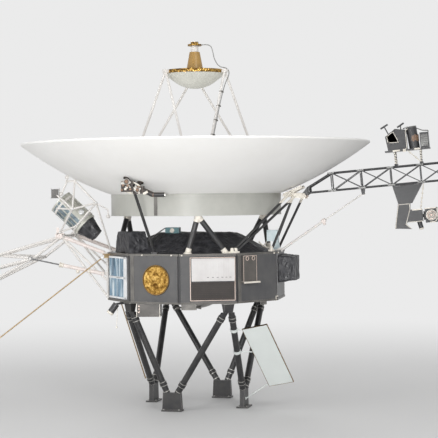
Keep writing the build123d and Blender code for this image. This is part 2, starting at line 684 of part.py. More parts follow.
with BuildPart() as brace_clevis:
    with BuildSketch(Plane(origin=(BUS_FLAT_R - 30, 0, BUS_TOP + SEAT_GAP), z_dir=(0, 0, 1))):
        Rectangle(60, 70)
    extrude(amount=8)
    for y in (-CLEVIS_HALF, CLEVIS_HALF):
        with BuildSketch(Plane(origin=(0, y + 3, 0), x_dir=(1, 0, 0), z_dir=(0, -1, 0))):
            with BuildLine():
                Polyline((BUS_FLAT_R - 56, BUS_TOP + 6), (BRACE_FOOT.X - 16, BUS_TOP + 6),
                         (BRACE_FOOT.X + 14, BRACE_FOOT.Z - 12), (BRACE_FOOT.X + 14, BRACE_FOOT.Z + 14),
                         (BRACE_FOOT.X - 20, BRACE_FOOT.Z + 26), close=True)
            make_face()
        extrude(amount=6)
    rod((BRACE_FOOT.X, -CLEVIS_HALF - 1, BRACE_FOOT.Z), (BRACE_FOOT.X, CLEVIS_HALF + 1, BRACE_FOOT.Z), BRACE_PIN_R)
save(brace_clevis, "brace_clevis")

# Science boom: four tubes, square frames and crossed laces
half = BOOM_DEEP / 2 - BOOM_TUBE_R
low_h = BOOM_LIFT + BOOM_TUBE_R
high_h = BOOM_LIFT + BOOM_DEEP - BOOM_TUBE_R
BRACE_HEAD_S = 2 * BOOM_BAY
BRACE_HEAD_H = -34
lace_length = hypot(BOOM_BAY, 2 * half)
lace_angle = degrees(atan2(2 * half, BOOM_BAY))
with BuildPart() as science_boom:
    for y in (-half, half):
        rod(boom_at(40, y, low_h), boom_at(BOOM_LENGTH, y, low_h), BOOM_TUBE_R)
        rod(boom_at(BOOM_BAY - 4, y, high_h), boom_at(BOOM_LENGTH, y, high_h), BOOM_TUBE_R)
        rod(boom_at(46, y, low_h + 50), boom_at(BOOM_BAY, y, high_h), BOOM_TUBE_R)
        rod(boom_at(50, y, low_h), boom_at(50, y, low_h + 56), BOOM_TUBE_R)
    sides = (
        Plane(origin=boom_at(0, -half, BOOM_AXIS_H), x_dir=BOOM_DIR, z_dir=(0, -1, 0)),
        Plane(origin=boom_at(0, half, BOOM_AXIS_H), x_dir=BOOM_DIR, z_dir=(0, -1, 0)),
        Plane(origin=boom_at(0, 0, low_h), x_dir=BOOM_DIR, z_dir=BOOM_UP),
        Plane(origin=boom_at(0, 0, high_h), x_dir=BOOM_DIR, z_dir=BOOM_UP),
    )
    for side in sides:
        with BuildSketch(side):
            for bay in range(1, BOOM_BAYS):
                with Locations(((bay + 0.5) * BOOM_BAY, 0)):
                    Rectangle(lace_length, BOOM_LACE, rotation=lace_angle)
                    Rectangle(lace_length, BOOM_LACE, rotation=-lace_angle)
            for frame in range(1, BOOM_BAYS + 1):
                with Locations((frame * BOOM_BAY - BOOM_LACE / 2, 0)):
                    Rectangle(BOOM_LACE * 1.4, 2 * half)
            with Locations((BOOM_LENGTH + BOOM_BAY / 2, 0)):
                Rectangle(BOOM_BAY, 4 * half, mode=Mode.SUBTRACT)
        extrude(amount=BOOM_LACE / 2, both=True)
    rod(boom_at(50, -half, low_h), boom_at(50, half, low_h), BOOM_TUBE_R)
    rod(boom_at(50, -half, low_h + 50), boom_at(50, half, low_h + 50), BOOM_TUBE_R)
    for y in (-half, half):
        with BuildSketch(Plane(origin=boom_at(0, y + 8, 0), x_dir=BOOM_DIR, z_dir=(0, -1, 0))):
            with BuildLine():
                Polyline((-16, -18), (0, -22), (70, low_h), (70, low_h + 50), (40, low_h + 56), (-18, 14),
                         close=True)
            make_face()
            Circle(HINGE_PIN_R + 0.4, mode=Mode.SUBTRACT)
        extrude(amount=16)
    lug_s = BRACE_HEAD_S
    for y in (-LUG_HALF, LUG_HALF):
        with BuildSketch(Plane(origin=boom_at(0, y + 2.5, 0), x_dir=BOOM_DIR, z_dir=(0, -1, 0))):
            with BuildLine():
                Polyline((lug_s - 24, low_h), (lug_s + 24, low_h), (lug_s + 14, BRACE_HEAD_H - 12),
                         (lug_s - 14, BRACE_HEAD_H - 12), close=True)
            make_face()
        extrude(amount=5)
    rod(boom_at(lug_s, -LUG_HALF - 2, BRACE_HEAD_H), boom_at(lug_s, LUG_HALF + 2, BRACE_HEAD_H), BRACE_PIN_R)
save(science_boom, "science_boom")

# Telescopic brace: a sleeve on the bus with a lock collar at its mouth, and a rod from the boom inside it
EYE_R = 20
FOOT_EYE_R = 14
BRACE_BORE_R = BRACE_TUBE_R - BRACE_WALL
BRACE_BORE_FLOOR = 60
LOCK_COLLAR = 44
BRACE_HEAD = boom_at(BRACE_HEAD_S, 0, BRACE_HEAD_H)
brace_mouth = (BRACE_HEAD - BRACE_FOOT).length * BRACE_SLEEVE_SHARE
brace_inside = brace_mouth - BRACE_OVERLAP
foot_half = Vector(0, CLEVIS_HALF - 4.4, 0)
head_half = Vector(0, LUG_HALF - 4, 0)


def brace_at(distance):
    """The point on the brace's axis at a distance from its foot."""
    return along(BRACE_FOOT, BRACE_HEAD, distance)


with BuildPart() as brace_lower:
    rod(BRACE_FOOT, brace_at(brace_mouth), BRACE_TUBE_R)
    rod(brace_at(brace_mouth - LOCK_COLLAR + 10), brace_at(brace_mouth + 10), EYE_R)
    rod(BRACE_FOOT - foot_half, BRACE_FOOT + foot_half, FOOT_EYE_R)
    bore_out(brace_at(BRACE_BORE_FLOOR), brace_at(brace_mouth + LOCK_COLLAR), BRACE_BORE_R)
    bore_out(BRACE_FOOT - foot_half, BRACE_FOOT + foot_half, BRACE_PIN_R + PIN_PLAY)
save(brace_lower, "brace_lower")
with BuildPart() as brace_upper:
    rod(brace_at(brace_inside), BRACE_HEAD, BRACE_ROD_R)
    rod(brace_at(brace_inside), brace_at(brace_inside + 26), BRACE_BORE_R - BRACE_PLAY)
    rod(BRACE_HEAD - head_half, BRACE_HEAD + head_half, EYE_R)
    bore_out(BRACE_HEAD - head_half, BRACE_HEAD + head_half, BRACE_PIN_R + PIN_PLAY)
save(brace_upper, "brace_upper")

# Particle counters on top of the boom: a tray on legs, a box with a square mouth, a tall can
RAY_S = DISH_R - 725
RAY_TRAY_H = 366
RAY_STICKS = (((-255, 606), (-178, 646)), ((-85, 604), (-14, 644)))
RAY_BOX = ((-196, RAY_TRAY_H), (0, RAY_TRAY_H), (0, 572), (-110, 592), (-216, 520))
top_h = BOOM_LIFT + BOOM_DEEP + SEAT_GAP
with BuildPart() as ray_counter:
    with Locations(boom_flat(RAY_S, 0, RAY_TRAY_H)):
        Box(460, 200, 14)
    for s in (RAY_S - 130, RAY_S + 130):
        for y in (-half, half):
            rod(boom_at(s, y, top_h), boom_at(s, y, RAY_TRAY_H), 8)
        with Locations(boom_flat(s, 0, top_h + 9)):
            Box(34, 2 * half, 18)
    with BuildSketch(Plane(origin=boom_at(RAY_S, 90, 0), x_dir=BOOM_DIR, z_dir=(0, -1, 0))):
        with BuildLine():
            Polyline(*RAY_BOX, close=True)
        make_face()
    extrude(amount=170)
    rod(boom_at(RAY_S + 75, -30, RAY_TRAY_H), boom_at(RAY_S + 55, -30, 592), 54)
    with Locations(boom_flat(RAY_S + 180, 0, RAY_TRAY_H + 82)):
        Box(90, 160, 164)
    for start, end in RAY_STICKS:
        middle = (start[0] + end[0]) / 2 + RAY_S
        height = (start[1] + end[1]) / 2
        rod(boom_at(RAY_S + start[0], -50, start[1]), boom_at(RAY_S + end[0], -50, end[1]), 9)
        rod(boom_at(middle, -50, height), boom_at(max(middle, RAY_S - 170), -50, 520), 6)
save(ray_counter, "ray_counter")

# Particle unit under the boom, and its head that steps round the boom's direction
HEAD_H = -320
HEAD_SHAFT_R = 16
with BuildPart() as particle_unit:
    with BuildSketch(Plane(origin=boom_at(0, 60, 0), x_dir=BOOM_DIR, z_dir=(0, -1, 0))):
        with BuildLine():
            Polyline((915, BOOM_LIFT - SEAT_GAP), (1225, BOOM_LIFT - SEAT_GAP), (1100, -182), (960, -182),
                     close=True)
        make_face()
    extrude(amount=120)
    with BuildSketch(Plane(origin=boom_at(0, 70, 0), x_dir=BOOM_DIR, z_dir=(0, -1, 0))):
        with BuildLine():
            Polyline((956, -180), (1080, -180), (1074, -250), (1022, -396), (1074, -446), (904, -428),
                     close=True)
        make_face()
    extrude(amount=140)
    with Locations(boom_flat(1116, 0, -312)):
        Box(160, 130, 130)
    rod(boom_at(1150, -20, -350), boom_at(1172, -20, -446), 24)
    for s in (975, 1165):
        with Locations(boom_flat(s, 0, BOOM_LIFT - SEAT_GAP - 5)):
            Box(40, BOOM_DEEP, 10)
    bore_out(boom_at(1160, 0, HEAD_H), boom_at(1198, 0, HEAD_H), HEAD_SHAFT_R + PIN_PLAY)
save(particle_unit, "particle_unit")

with BuildPart() as particle_head:
    rod(boom_at(1164, 0, HEAD_H), boom_at(1240, 0, HEAD_H), HEAD_SHAFT_R)
    rod(boom_at(1206, 0, HEAD_H), boom_at(1224, 0, HEAD_H), 46)
    with Locations(boom_flat(1286, 0, HEAD_H)):
        Box(128, 130, 150)
    rod(boom_at(1286, 0, HEAD_H), boom_at(1286, -96, HEAD_H), 54)
    rod(boom_at(1286, 0, HEAD_H), boom_at(1286, 92, HEAD_H), 40)
save(particle_head, "particle_head")

# Plasma cups near the boom's end: three look up, one sideways
PLASMA_S = 1750
CUP_MOUTH_R = 68
CUP_FLOOR_R = 44
CUP_TURNS = (30, 150, 270)
CUP_MOUTH_OUT = 84
CUP_FLOOR_OUT = 36
SIDE_CUP_R = 56
SIDE_CUP_UP = 62
with BuildPart() as plasma_unit:
    with Locations(boom_flat(PLASMA_S, 0, top_h + 60)):
        Box(170, 150, 120)
    with Locations(boom_flat(PLASMA_S, 0, top_h + 5)):
        Box(150, BOOM_DEEP, 10)
    for turn in CUP_TURNS:
        lean = polar(1, turn)
        mouth = boom_at(PLASMA_S + CUP_MOUTH_OUT * lean.X, CUP_MOUTH_OUT * lean.Y, top_h + 186)
        floor = boom_at(PLASMA_S + CUP_FLOOR_OUT * lean.X, CUP_FLOOR_OUT * lean.Y, top_h + 90)
        with BuildSketch(Plane(origin=floor, z_dir=mouth - floor)):
            Circle(CUP_FLOOR_R)
        with BuildSketch(Plane(origin=mouth, z_dir=mouth - floor)):
            Circle(CUP_MOUTH_R)
        loft()
        bore_out(mouth, along(mouth, floor, 30), CUP_MOUTH_R - 8)
    side_h = top_h + SIDE_CUP_UP
    rod(boom_at(PLASMA_S, -60, side_h), boom_at(PLASMA_S, -150, side_h), SIDE_CUP_R)
    bore_out(boom_at(PLASMA_S, -150, side_h), boom_at(PLASMA_S, -110, side_h), SIDE_CUP_R - 8)
save(plasma_unit, "plasma_unit")

# Azimuth drive, yoke and scan platform
AXIS_H = BOOM_AXIS_H
DRIVE_R = 90
DRIVE_END_S = BOOM_LENGTH + 125
YOKE_SHAFT_R = 34
YOKE_DEEP = 60
with BuildPart() as azimuth_drive:
    with BuildSketch(boom_plane(BOOM_LENGTH + SEAT_GAP, 0, AXIS_H)):
        Rectangle(BOOM_DEEP, BOOM_DEEP)
    extrude(amount=14)
    rod(boom_at(BOOM_LENGTH + 14, 0, AXIS_H), boom_at(DRIVE_END_S, 0, AXIS_H), DRIVE_R)
    rod(boom_at(BOOM_LENGTH + 14, 0, AXIS_H), boom_at(BOOM_LENGTH + 60, 0, AXIS_H), DRIVE_R + 8)
    well = boom_at(DRIVE_END_S - YOKE_DEEP - 4, 0, AXIS_H)
    bore_out(well, boom_at(DRIVE_END_S, 0, AXIS_H), YOKE_SHAFT_R + PIN_PLAY)
save(azimuth_drive, "azimuth_drive")

TILT_S = BOOM_LENGTH + 345
ARM_H = 150
ARM_THICK = 14
TILT_PIN_R = 16
with BuildPart() as platform_yoke:
    with BuildSketch(boom_plane(DRIVE_END_S + 5, 0, AXIS_H)):
        Rectangle(120, 2 * ARM_H + ARM_THICK)
    extrude(amount=20)
    rod(boom_at(DRIVE_END_S - YOKE_DEEP, 0, AXIS_H), boom_at(DRIVE_END_S + 10, 0, AXIS_H), YOKE_SHAFT_R)
    for side in (-1, 1):
        with BuildSketch(boom_flat(DRIVE_END_S + 20, 0, AXIS_H + side * ARM_H - ARM_THICK / 2)):
            with BuildLine():
                Polyline((-15, -60), (90, -55), (220, -38), (240, 0), (220, 38), (90, 55), (-15, 60), close=True)
            make_face()
        extrude(amount=ARM_THICK)
    pin_low = boom_at(TILT_S, 0, AXIS_H - ARM_H - 20)
    bore_out(pin_low, boom_at(TILT_S, 0, AXIS_H + ARM_H + 20), TILT_PIN_R + PIN_PLAY)
save(platform_yoke, "platform_yoke")

# Telescopes of the platform: radius, ends in y, distance past the tilt axis, height over it
NARROW = (100, -480, 440, 250, 180)
WIDE = (85, -320, 240, 240, -40)
INFRARED = (150, -210, 120, 345, -330)
SADDLES = ((NARROW, (-150, 70)), (WIDE, (-150, 70)), (INFRARED, (-40, 80)))
PLATE_S = TILT_S + 112
with BuildPart() as platform_frame:
    rod(boom_at(TILT_S, 0, AXIS_H - 138), boom_at(TILT_S, 0, AXIS_H + 138), 40)
    rod(boom_at(TILT_S, 0, AXIS_H - ARM_H - 12), boom_at(TILT_S, 0, AXIS_H + ARM_H + 12), TILT_PIN_R)
    with Locations(boom_flat(TILT_S + 60, 0, AXIS_H)):
        Box(100, 60, 200)
    with Locations(boom_flat(PLATE_S, 0, AXIS_H + 15)):
        Box(16, 480, 770)
    for (radius, start, end, out, up), places in SADDLES:
        for y in places:
            with Locations(boom_flat((PLATE_S + TILT_S + out) / 2, y, AXIS_H + up)):
                Box(TILT_S + out - PLATE_S, 44, radius)
        seat_end = boom_at(TILT_S + out, end, AXIS_H + up)
        bore_out(boom_at(TILT_S + out, start, AXIS_H + up), seat_end, radius + SEAT_GAP)
save(platform_frame, "platform_frame")

with BuildPart() as narrow_camera:
    radius, start, end, out, up = NARROW
    rod(boom_at(TILT_S + out, start + 60, AXIS_H + up), boom_at(TILT_S + out, end, AXIS_H + up), radius)
    rod(boom_at(TILT_S + out, start, AXIS_H + up), boom_at(TILT_S + out, start + 70, AXIS_H + up), radius + 12)
    bore_out(boom_at(TILT_S + out, start, AXIS_H + up), boom_at(TILT_S + out, start + 120, AXIS_H + up), radius - 6)
    with Locations(boom_flat(TILT_S + out, end + 60, AXIS_H + up)):
        Box(150, 120, 170)
save(narrow_camera, "narrow_camera")
with BuildPart() as wide_camera:
    radius, start, end, out, up = WIDE
    rod(boom_at(TILT_S + out, start, AXIS_H + up), boom_at(TILT_S + out, end, AXIS_H + up), radius)
    bore_out(boom_at(TILT_S + out, start, AXIS_H + up), boom_at(TILT_S + out, start + 90, AXIS_H + up), radius - 8)
    with Locations(boom_flat(TILT_S + out, end + 50, AXIS_H + up)):
        Box(130, 100, 140)
save(wide_camera, "wide_camera")
with BuildPart() as infrared_unit:
    radius, start, end, out, up = INFRARED
    axis_s = TILT_S + out
    rod(boom_at(axis_s, start + 130, AXIS_H + up), boom_at(axis_s, end, AXIS_H + up), radius)
    with BuildSketch(Plane(origin=boom_at(axis_s, start + 130, AXIS_H + up), z_dir=(0, -1, 0))):
        Circle(radius)
    with BuildSketch(Plane(origin=boom_at(axis_s, start - 40, AXIS_H + up), z_dir=(0, -1, 0))):
        Circle(radius + 62)
    loft()
    with BuildSketch(Plane(origin=boom_at(axis_s, start + 110, AXIS_H + up), z_dir=(0, -1, 0))):
        Circle(radius - 12)
    with BuildSketch(Plane(origin=boom_at(axis_s, start - 41, AXIS_H + up), z_dir=(0, -1, 0))):
        Circle(radius + 54)
    loft(mode=Mode.SUBTRACT)
    with Locations(boom_flat(axis_s, end + 70, AXIS_H + up)):
        Box(220, 140, 200)
save(infrared_unit, "infrared_unit")

# Ultraviolet box and polarimeter at the plate's ends
with BuildPart() as ultraviolet_unit:
    with Locations(boom_flat(PLATE_S + 8 + SEAT_GAP + 55, 170, AXIS_H - 175)):
        Box(110, 130, 80)
save(ultraviolet_unit, "ultraviolet_unit")
with BuildPart() as polarimeter:
    with Locations(boom_flat(PLATE_S + 8 + SEAT_GAP + 50, -190, AXIS_H + 348)):
        Box(100, 90, 96)
    rod(boom_at(PLATE_S + 60, -225, AXIS_H + 348), boom_at(PLATE_S + 60, -330, AXIS_H + 348), 40)
save(polarimeter, "polarimeter")

# Outrigger that carries the generator boom
POST_WIDE = 24
POST_R = BUS_CORNER_R + SEAT_GAP + POST_WIDE / 2
SHAFT_HALF = RTG_HALF_SPAN + 38
DAMPER_Y = -RTG_HALF_SPAN - 55
DAMPER_FOOT = Vector(-945, DAMPER_Y, 1399)
DAMPER_HEAD = Vector(RTG_LOWER_X, DAMPER_Y, RTG_LOWER_Z)
DAMPER_PIN_R = 9
with BuildPart() as outrigger:
    for side in (-1, 1):
        hinge = Vector(RTG_HINGE_X, side * RTG_HALF_SPAN, RTG_HINGE_Z)
        azimuth = 180 - side * BAY_TURN / 2
        corner = polar(POST_R, azimuth)
        with Locations(Plane(origin=corner + Vector(0, 0, TANK_Z), x_dir=polar(1, azimuth), z_dir=(0, 0, 1))):
            Box(POST_WIDE, POST_WIDE, BUS_HEIGHT - 12)
        for z, tube_r in ((BUS_TOP - 20, RTG_TUBE_R), (BUS_BOTTOM + 200, 11), (BUS_BOTTOM + 30, 12)):
            rod(Vector(corner.X, corner.Y, z), hinge, tube_r)
        with Locations(hinge):
            Box(44, 36, 44)
    rod((RTG_HINGE_X, -SHAFT_HALF, RTG_HINGE_Z), (RTG_HINGE_X, SHAFT_HALF, RTG_HINGE_Z), RTG_TUBE_R)
    rod((DAMPER_FOOT.X, DAMPER_Y - 12, DAMPER_FOOT.Z), (DAMPER_FOOT.X, DAMPER_Y + 42, DAMPER_FOOT.Z), DAMPER_PIN_R)
    with Locations((-922, DAMPER_Y + 28, DAMPER_FOOT.Z)):
        Box(60, 12, 40)
save(outrigger, "outrigger")


def rtg_at(s, y=0.0, h=0.0):
    """A point on the generator axis: s outwards, y sideways, h up."""
    slope = radians(RTG_SLOPE)
    return Vector(RTG_START_X - s * cos(slope) + h * sin(slope), y, RTG_START_Z + s * sin(slope) + h * cos(slope))


RTG_DIR = rtg_at(1) - rtg_at(0)


def rtg_plane(s):
    """Plane square to the generator axis, facing outwards."""
    return Plane(origin=rtg_at(s), x_dir=(0, 1, 0), z_dir=RTG_DIR)


SLEEVE_R = 30
SLEEVE_BORE = RTG_TUBE_R + 0.5
SLEEVE_LENGTH = 50
RING_THICK = 24
NODE_R = 21
RTG_INSIDE = RTG_HALF_SPAN - 60
with BuildPart() as rtg_boom:
    with BuildSketch(rtg_plane(0)):
        Circle(RTG_FIN_R - 8)
        Circle(RTG_FIN_R - 46, mode=Mode.SUBTRACT)
    extrude(amount=-RING_THICK)
    for side in (-1, 1):
        inside = side * RTG_INSIDE
        low = Vector(RTG_LOWER_X, inside, RTG_LOWER_Z)
        high = Vector(RTG_HINGE_X, inside, RTG_HINGE_Z)
        with Locations(low):
            Sphere(NODE_R)
        rod(along(high, low, SLEEVE_BORE + 5), low, RTG_TUBE_R)
        for end in (rtg_at(-16, side * 70, 160), rtg_at(-16, side * 172, -20), rtg_at(-16, side * 70, -160)):
            rod(low, end, RTG_TUBE_R - 1)
        brace_end = rtg_at(-16, side * 135, 108)
        rod(along(high, brace_end, SLEEVE_BORE + 5), brace_end, RTG_TUBE_R - 2)
        with BuildSketch(Plane(origin=high - Vector(0, SLEEVE_LENGTH / 2, 0), z_dir=(0, 1, 0))):
            Circle(SLEEVE_R)
            Circle(SLEEVE_BORE, mode=Mode.SUBTRACT)
        extrude(amount=SLEEVE_LENGTH)
    rod((RTG_LOWER_X, DAMPER_Y - 12, RTG_LOWER_Z), (RTG_LOWER_X, RTG_INSIDE, RTG_LOWER_Z), RTG_TUBE_R - 3)
save(rtg_boom, "rtg_boom")

GENERATORS = ("generator_inner", "generator_middle", "generator_outer")
for number, label in enumerate(GENERATORS):
    start = SEAT_GAP + number * RTG_PITCH
    with BuildPart() as generator:
        with BuildSketch(rtg_plane(start)):
            Circle(RTG_CASE_R)
        extrude(amount=RTG_LENGTH)
        for fin in range(RTG_FINS):
            with BuildSketch(rtg_plane(start + 14)):
                with PolarLocations(0, 1, start_angle=fin * 360 / RTG_FINS):
                    with Locations(((RTG_CASE_R + RTG_FIN_R) / 2 - 5, 0)):
                        Rectangle(RTG_FIN_R - RTG_CASE_R + 10, 8)
            extrude(amount=RTG_LENGTH - 28)
        with BuildSketch(rtg_plane(start)):
            Circle(RTG_FIN_R - 10)
        extrude(amount=10)
        with BuildSketch(rtg_plane(start + RTG_LENGTH - 10)):
            Circle(RTG_FIN_R - 10)
        extrude(amount=10)
        if number + 1 < RTG_COUNT:
            with BuildSketch(rtg_plane(start + RTG_LENGTH)):
                Circle(70)
            extrude(amount=RTG_PITCH - RTG_LENGTH - SEAT_GAP)
    save(generator, label)

# Damper between the bus corner and the generator boom: its rod slides in its cylinder
DAMPER_EYE_R = 22
DAMPER_TUBE_R = 20
DAMPER_WALL = 5.5
DAMPER_ROD_R = 8
DAMPER_PLAY = 2.3
DAMPER_FLOOR = 110
DAMPER_MOUTH = 470
DAMPER_INSIDE = 260
DAMPER_BORE_R = DAMPER_TUBE_R - DAMPER_WALL
damper_eye_half = Vector(0, 9, 0)


def damper_at(distance):
    """The point on the damper's axis at a distance from its foot."""
    return along(DAMPER_FOOT, DAMPER_HEAD, distance)


with BuildPart() as damper_cylinder:
    rod(DAMPER_FOOT, damper_at(DAMPER_MOUTH), DAMPER_TUBE_R)
    rod(DAMPER_FOOT - damper_eye_half, DAMPER_FOOT + damper_eye_half, DAMPER_EYE_R)
    bore_out(damper_at(DAMPER_FLOOR), damper_at(DAMPER_MOUTH + 40), DAMPER_BORE_R)
    bore_out(DAMPER_FOOT - damper_eye_half * 2.5, DAMPER_FOOT + damper_eye_half * 2.5, DAMPER_PIN_R + PIN_PLAY)
save(damper_cylinder, "damper_cylinder")
with BuildPart() as damper_rod:
    rod(damper_at(DAMPER_INSIDE), DAMPER_HEAD, DAMPER_ROD_R)
    rod(damper_at(DAMPER_INSIDE), damper_at(DAMPER_INSIDE + 30), DAMPER_BORE_R - DAMPER_PLAY)
    rod(DAMPER_HEAD - damper_eye_half, DAMPER_HEAD + damper_eye_half, DAMPER_EYE_R)
    bore_out(DAMPER_HEAD - damper_eye_half, DAMPER_HEAD + damper_eye_half, RTG_TUBE_R - 3 + PIN_PLAY)
save(damper_rod, "damper_rod")

# Mast canister, its blanket cone and the white tube frame that carries both
CAN_OUT = Vector(-1407, -250, 2153)
CAN_IN = Vector(-1139, -250, 1904)
CAN_R = 128
CAN_RIM = 5
can_run = (CAN_OUT - CAN_IN).normalized()
with BuildPart() as mast_canister:
    rod(CAN_OUT, CAN_IN, CAN_R)
    for spot in (along(CAN_OUT, CAN_IN, 4), along(CAN_OUT, CAN_IN, 182), along(CAN_IN, CAN_OUT, 16)):
        rod(spot, along(spot, spot + CAN_IN - CAN_OUT, 12), CAN_R + CAN_RIM)
save(mast_canister, "mast_canister")
with BuildPart() as mast_blanket:
    base = along(CAN_IN, CAN_OUT, -SEAT_GAP)
    with BuildSketch(Plane(origin=base, z_dir=CAN_IN - CAN_OUT)):
        RegularPolygon(CAN_R - 6, 8)
    with BuildSketch(Plane(origin=along(CAN_IN, CAN_OUT, -165), z_dir=CAN_IN - CAN_OUT)):
        RegularPolygon(74, 8, rotation=12)
    loft()
save(mast_blanket, "mast_blanket")

HOOP_AT = (52, 322)
FRAME_R = 10
NODE_NEAR = Vector(-959, -492, 2137)
NODE_OUT = Vector(-1199, -539, 2078)
NODE_LOW = Vector(RTG_HINGE_X, -SHAFT_HALF + 10, RTG_HINGE_Z)
NODE_TOP = Vector(-1199, -437, 2370)
NODE_TOP_OUT = Vector(-1279, -452, 2365)
NODE_SENSOR = Vector(-1400, -470, 2238)
BALL_R = 21
BALL_SENSOR = Vector(-1336, -468, 2234)
BALL_NEAR = Vector(-824, -520, 1998)
BALL_KNEE = Vector(-826, -520, 2066)
FRAME_FOOT = polar(BUS_CORNER_R - 26, 198, BUS_TOP + SEAT_GAP)
NODE_JOIN = NODE_LOW + Vector(0, 0, 41)
hoop_out = along(CAN_OUT, CAN_IN, HOOP_AT[0])
hoop_in = along(CAN_OUT, CAN_IN, HOOP_AT[1])
hoop_side = can_run.cross(Vector(0, 1, 0)) * 0.35 - Vector(0, 1, 0)
FRAME_TUBES = (
    (NODE_NEAR, NODE_OUT),
    (NODE_OUT, NODE_JOIN),
    (NODE_NEAR, FRAME_FOOT + Vector(0, 0, 8)),
    (NODE_OUT, hoop_out + hoop_side * (CAN_R + 6)),
    (NODE_NEAR, hoop_in + hoop_side * (CAN_R + 6)),
    (NODE_NEAR, NODE_TOP),
    (NODE_TOP, NODE_TOP_OUT),
    (NODE_TOP_OUT, BALL_SENSOR),
    (NODE_TOP, NODE_OUT),
    (NODE_OUT, NODE_SENSOR),
    (NODE_JOIN, hoop_in + hoop_side * (CAN_R + 6)),
)
with BuildPart() as mast_frame:
    for spot in HOOP_AT:
        clamp(along(CAN_OUT, CAN_IN, spot), can_run, CAN_R + SEAT_GAP, 9, 22)
    for start, end in FRAME_TUBES:
        rod(start, end, FRAME_R)
    hoop_joints = (hoop_out + hoop_side * (CAN_R + 8), hoop_in + hoop_side * (CAN_R + 8))
    for joint in (NODE_NEAR, NODE_OUT, NODE_JOIN, NODE_TOP, NODE_TOP_OUT, *hoop_joints):
        with Locations(joint):
            Sphere(FRAME_R + 6)
    for ball in (NODE_TOP_OUT + Vector(0, 0, 42), BALL_SENSOR, BALL_NEAR):
        with Locations(ball):
            Sphere(BALL_R)
    rod(NODE_NEAR, BALL_KNEE, 7)
    rod(BALL_KNEE, BALL_NEAR, 7)
    with Locations(BALL_KNEE):
        Sphere(8)
    rod(NODE_TOP_OUT, NODE_TOP_OUT + Vector(0, 0, 42), 7)
    with Locations(NODE_SENSOR):
        Box(92, 26, 106)
    clamp(NODE_LOW, (0, 1, 0), RTG_TUBE_R + SEAT_GAP, 8, 16)
    rod(NODE_JOIN, NODE_LOW + Vector(0, 0, RTG_TUBE_R + 4), 8)
    with BuildSketch(Plane(origin=FRAME_FOOT, z_dir=(0, 0, 1))):
        Circle(20)
    extrude(amount=14)
save(mast_frame, "mast_frame")

# Two whip aerials, each in a block on a bay's face
WHIP_R = 6.5
WHIP_BLOCK = (46, 44)
WHIPS = (
    (216, -238, 214, 66, (-0.717, -0.363, -0.593), 2450),
    (180, 120, 206, 76, (0.08, 0.62, -0.78), 1850),
)
with BuildPart() as whip_aerials:
    for azimuth, side, up, out, heading, length in WHIPS:
        face = bay_plane(azimuth, PANEL_THICK + SEAT_GAP)
        with BuildSketch(face):
            with Locations((side, up)):
                Rectangle(*WHIP_BLOCK)
        extrude(amount=out)
        root = face.from_local_coords(Vector(side, up, out - 14))
        rod(root, root + Vector(*heading).normalized() * length, WHIP_R)
save(whip_aerials, "whip_aerials")
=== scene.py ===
"""Looks of the deep-space probe: finishes for every CAD piece, and the small detail that rides on them."""

import math
import random

import bmesh
import bpy
from mathutils import Matrix, Vector, noise


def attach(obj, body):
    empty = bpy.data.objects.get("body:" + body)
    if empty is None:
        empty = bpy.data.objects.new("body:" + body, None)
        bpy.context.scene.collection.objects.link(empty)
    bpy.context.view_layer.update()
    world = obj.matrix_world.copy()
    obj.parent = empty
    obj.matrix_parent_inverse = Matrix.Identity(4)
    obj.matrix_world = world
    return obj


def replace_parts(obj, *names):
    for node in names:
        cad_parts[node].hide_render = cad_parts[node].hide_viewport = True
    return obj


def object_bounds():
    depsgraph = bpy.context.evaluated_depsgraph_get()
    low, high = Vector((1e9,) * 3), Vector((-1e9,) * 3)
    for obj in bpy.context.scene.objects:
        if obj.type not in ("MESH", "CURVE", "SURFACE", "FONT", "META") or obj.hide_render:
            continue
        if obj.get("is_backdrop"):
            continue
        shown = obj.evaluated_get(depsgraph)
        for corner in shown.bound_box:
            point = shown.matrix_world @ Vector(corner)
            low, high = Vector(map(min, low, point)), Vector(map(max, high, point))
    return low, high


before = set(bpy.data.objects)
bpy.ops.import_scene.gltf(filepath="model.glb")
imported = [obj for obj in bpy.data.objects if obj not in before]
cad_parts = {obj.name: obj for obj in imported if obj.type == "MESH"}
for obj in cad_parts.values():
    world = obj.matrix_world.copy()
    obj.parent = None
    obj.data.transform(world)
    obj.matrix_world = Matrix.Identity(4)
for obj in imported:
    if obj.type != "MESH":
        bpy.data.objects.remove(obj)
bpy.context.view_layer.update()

# Camera, floor and light.
# The camera stands where the photograph's lens stood: eye height 2.175 m, 15 m from the dish axis,
# and 11 degrees round from the line that is square to the booms. The floor turns paler far away.
PHOTO_WIDTH, FOCAL_LENGTH = 438, 1423.4  # pixels
FILM_WIDTH = 36  # millimetres
EYE_PLACE = (2.868, -14.754, 2.175)
EYE_TURN, EYE_PITCH, EYE_ROLL = 11 - 0.909, -0.842, -0.593  # degrees
FLOOR_REACH = 45
FLOOR_FADE = 2.0, 11.0
PALE = (0.83, 0.83, 0.83, 1)


def add_object(name, data):
    """A new object, linked into the scene."""
    thing = bpy.data.objects.new(name, data)
    bpy.context.scene.collection.objects.link(thing)
    return thing


eye = add_object("photo_camera", bpy.data.cameras.new("photo_camera"))
eye.data.sensor_width = FILM_WIDTH
eye.data.lens = FILM_WIDTH * FOCAL_LENGTH / PHOTO_WIDTH
eye.data.clip_end = 100
eye.matrix_world = (
    Matrix.Translation(EYE_PLACE)
    @ Matrix.Rotation(math.radians(EYE_TURN), 4, "Z")
    @ Matrix.Rotation(math.pi / 2 + math.radians(EYE_PITCH), 4, "X")
    @ Matrix.Rotation(math.radians(EYE_ROLL), 4, "Z")
)
bpy.context.scene.camera = eye


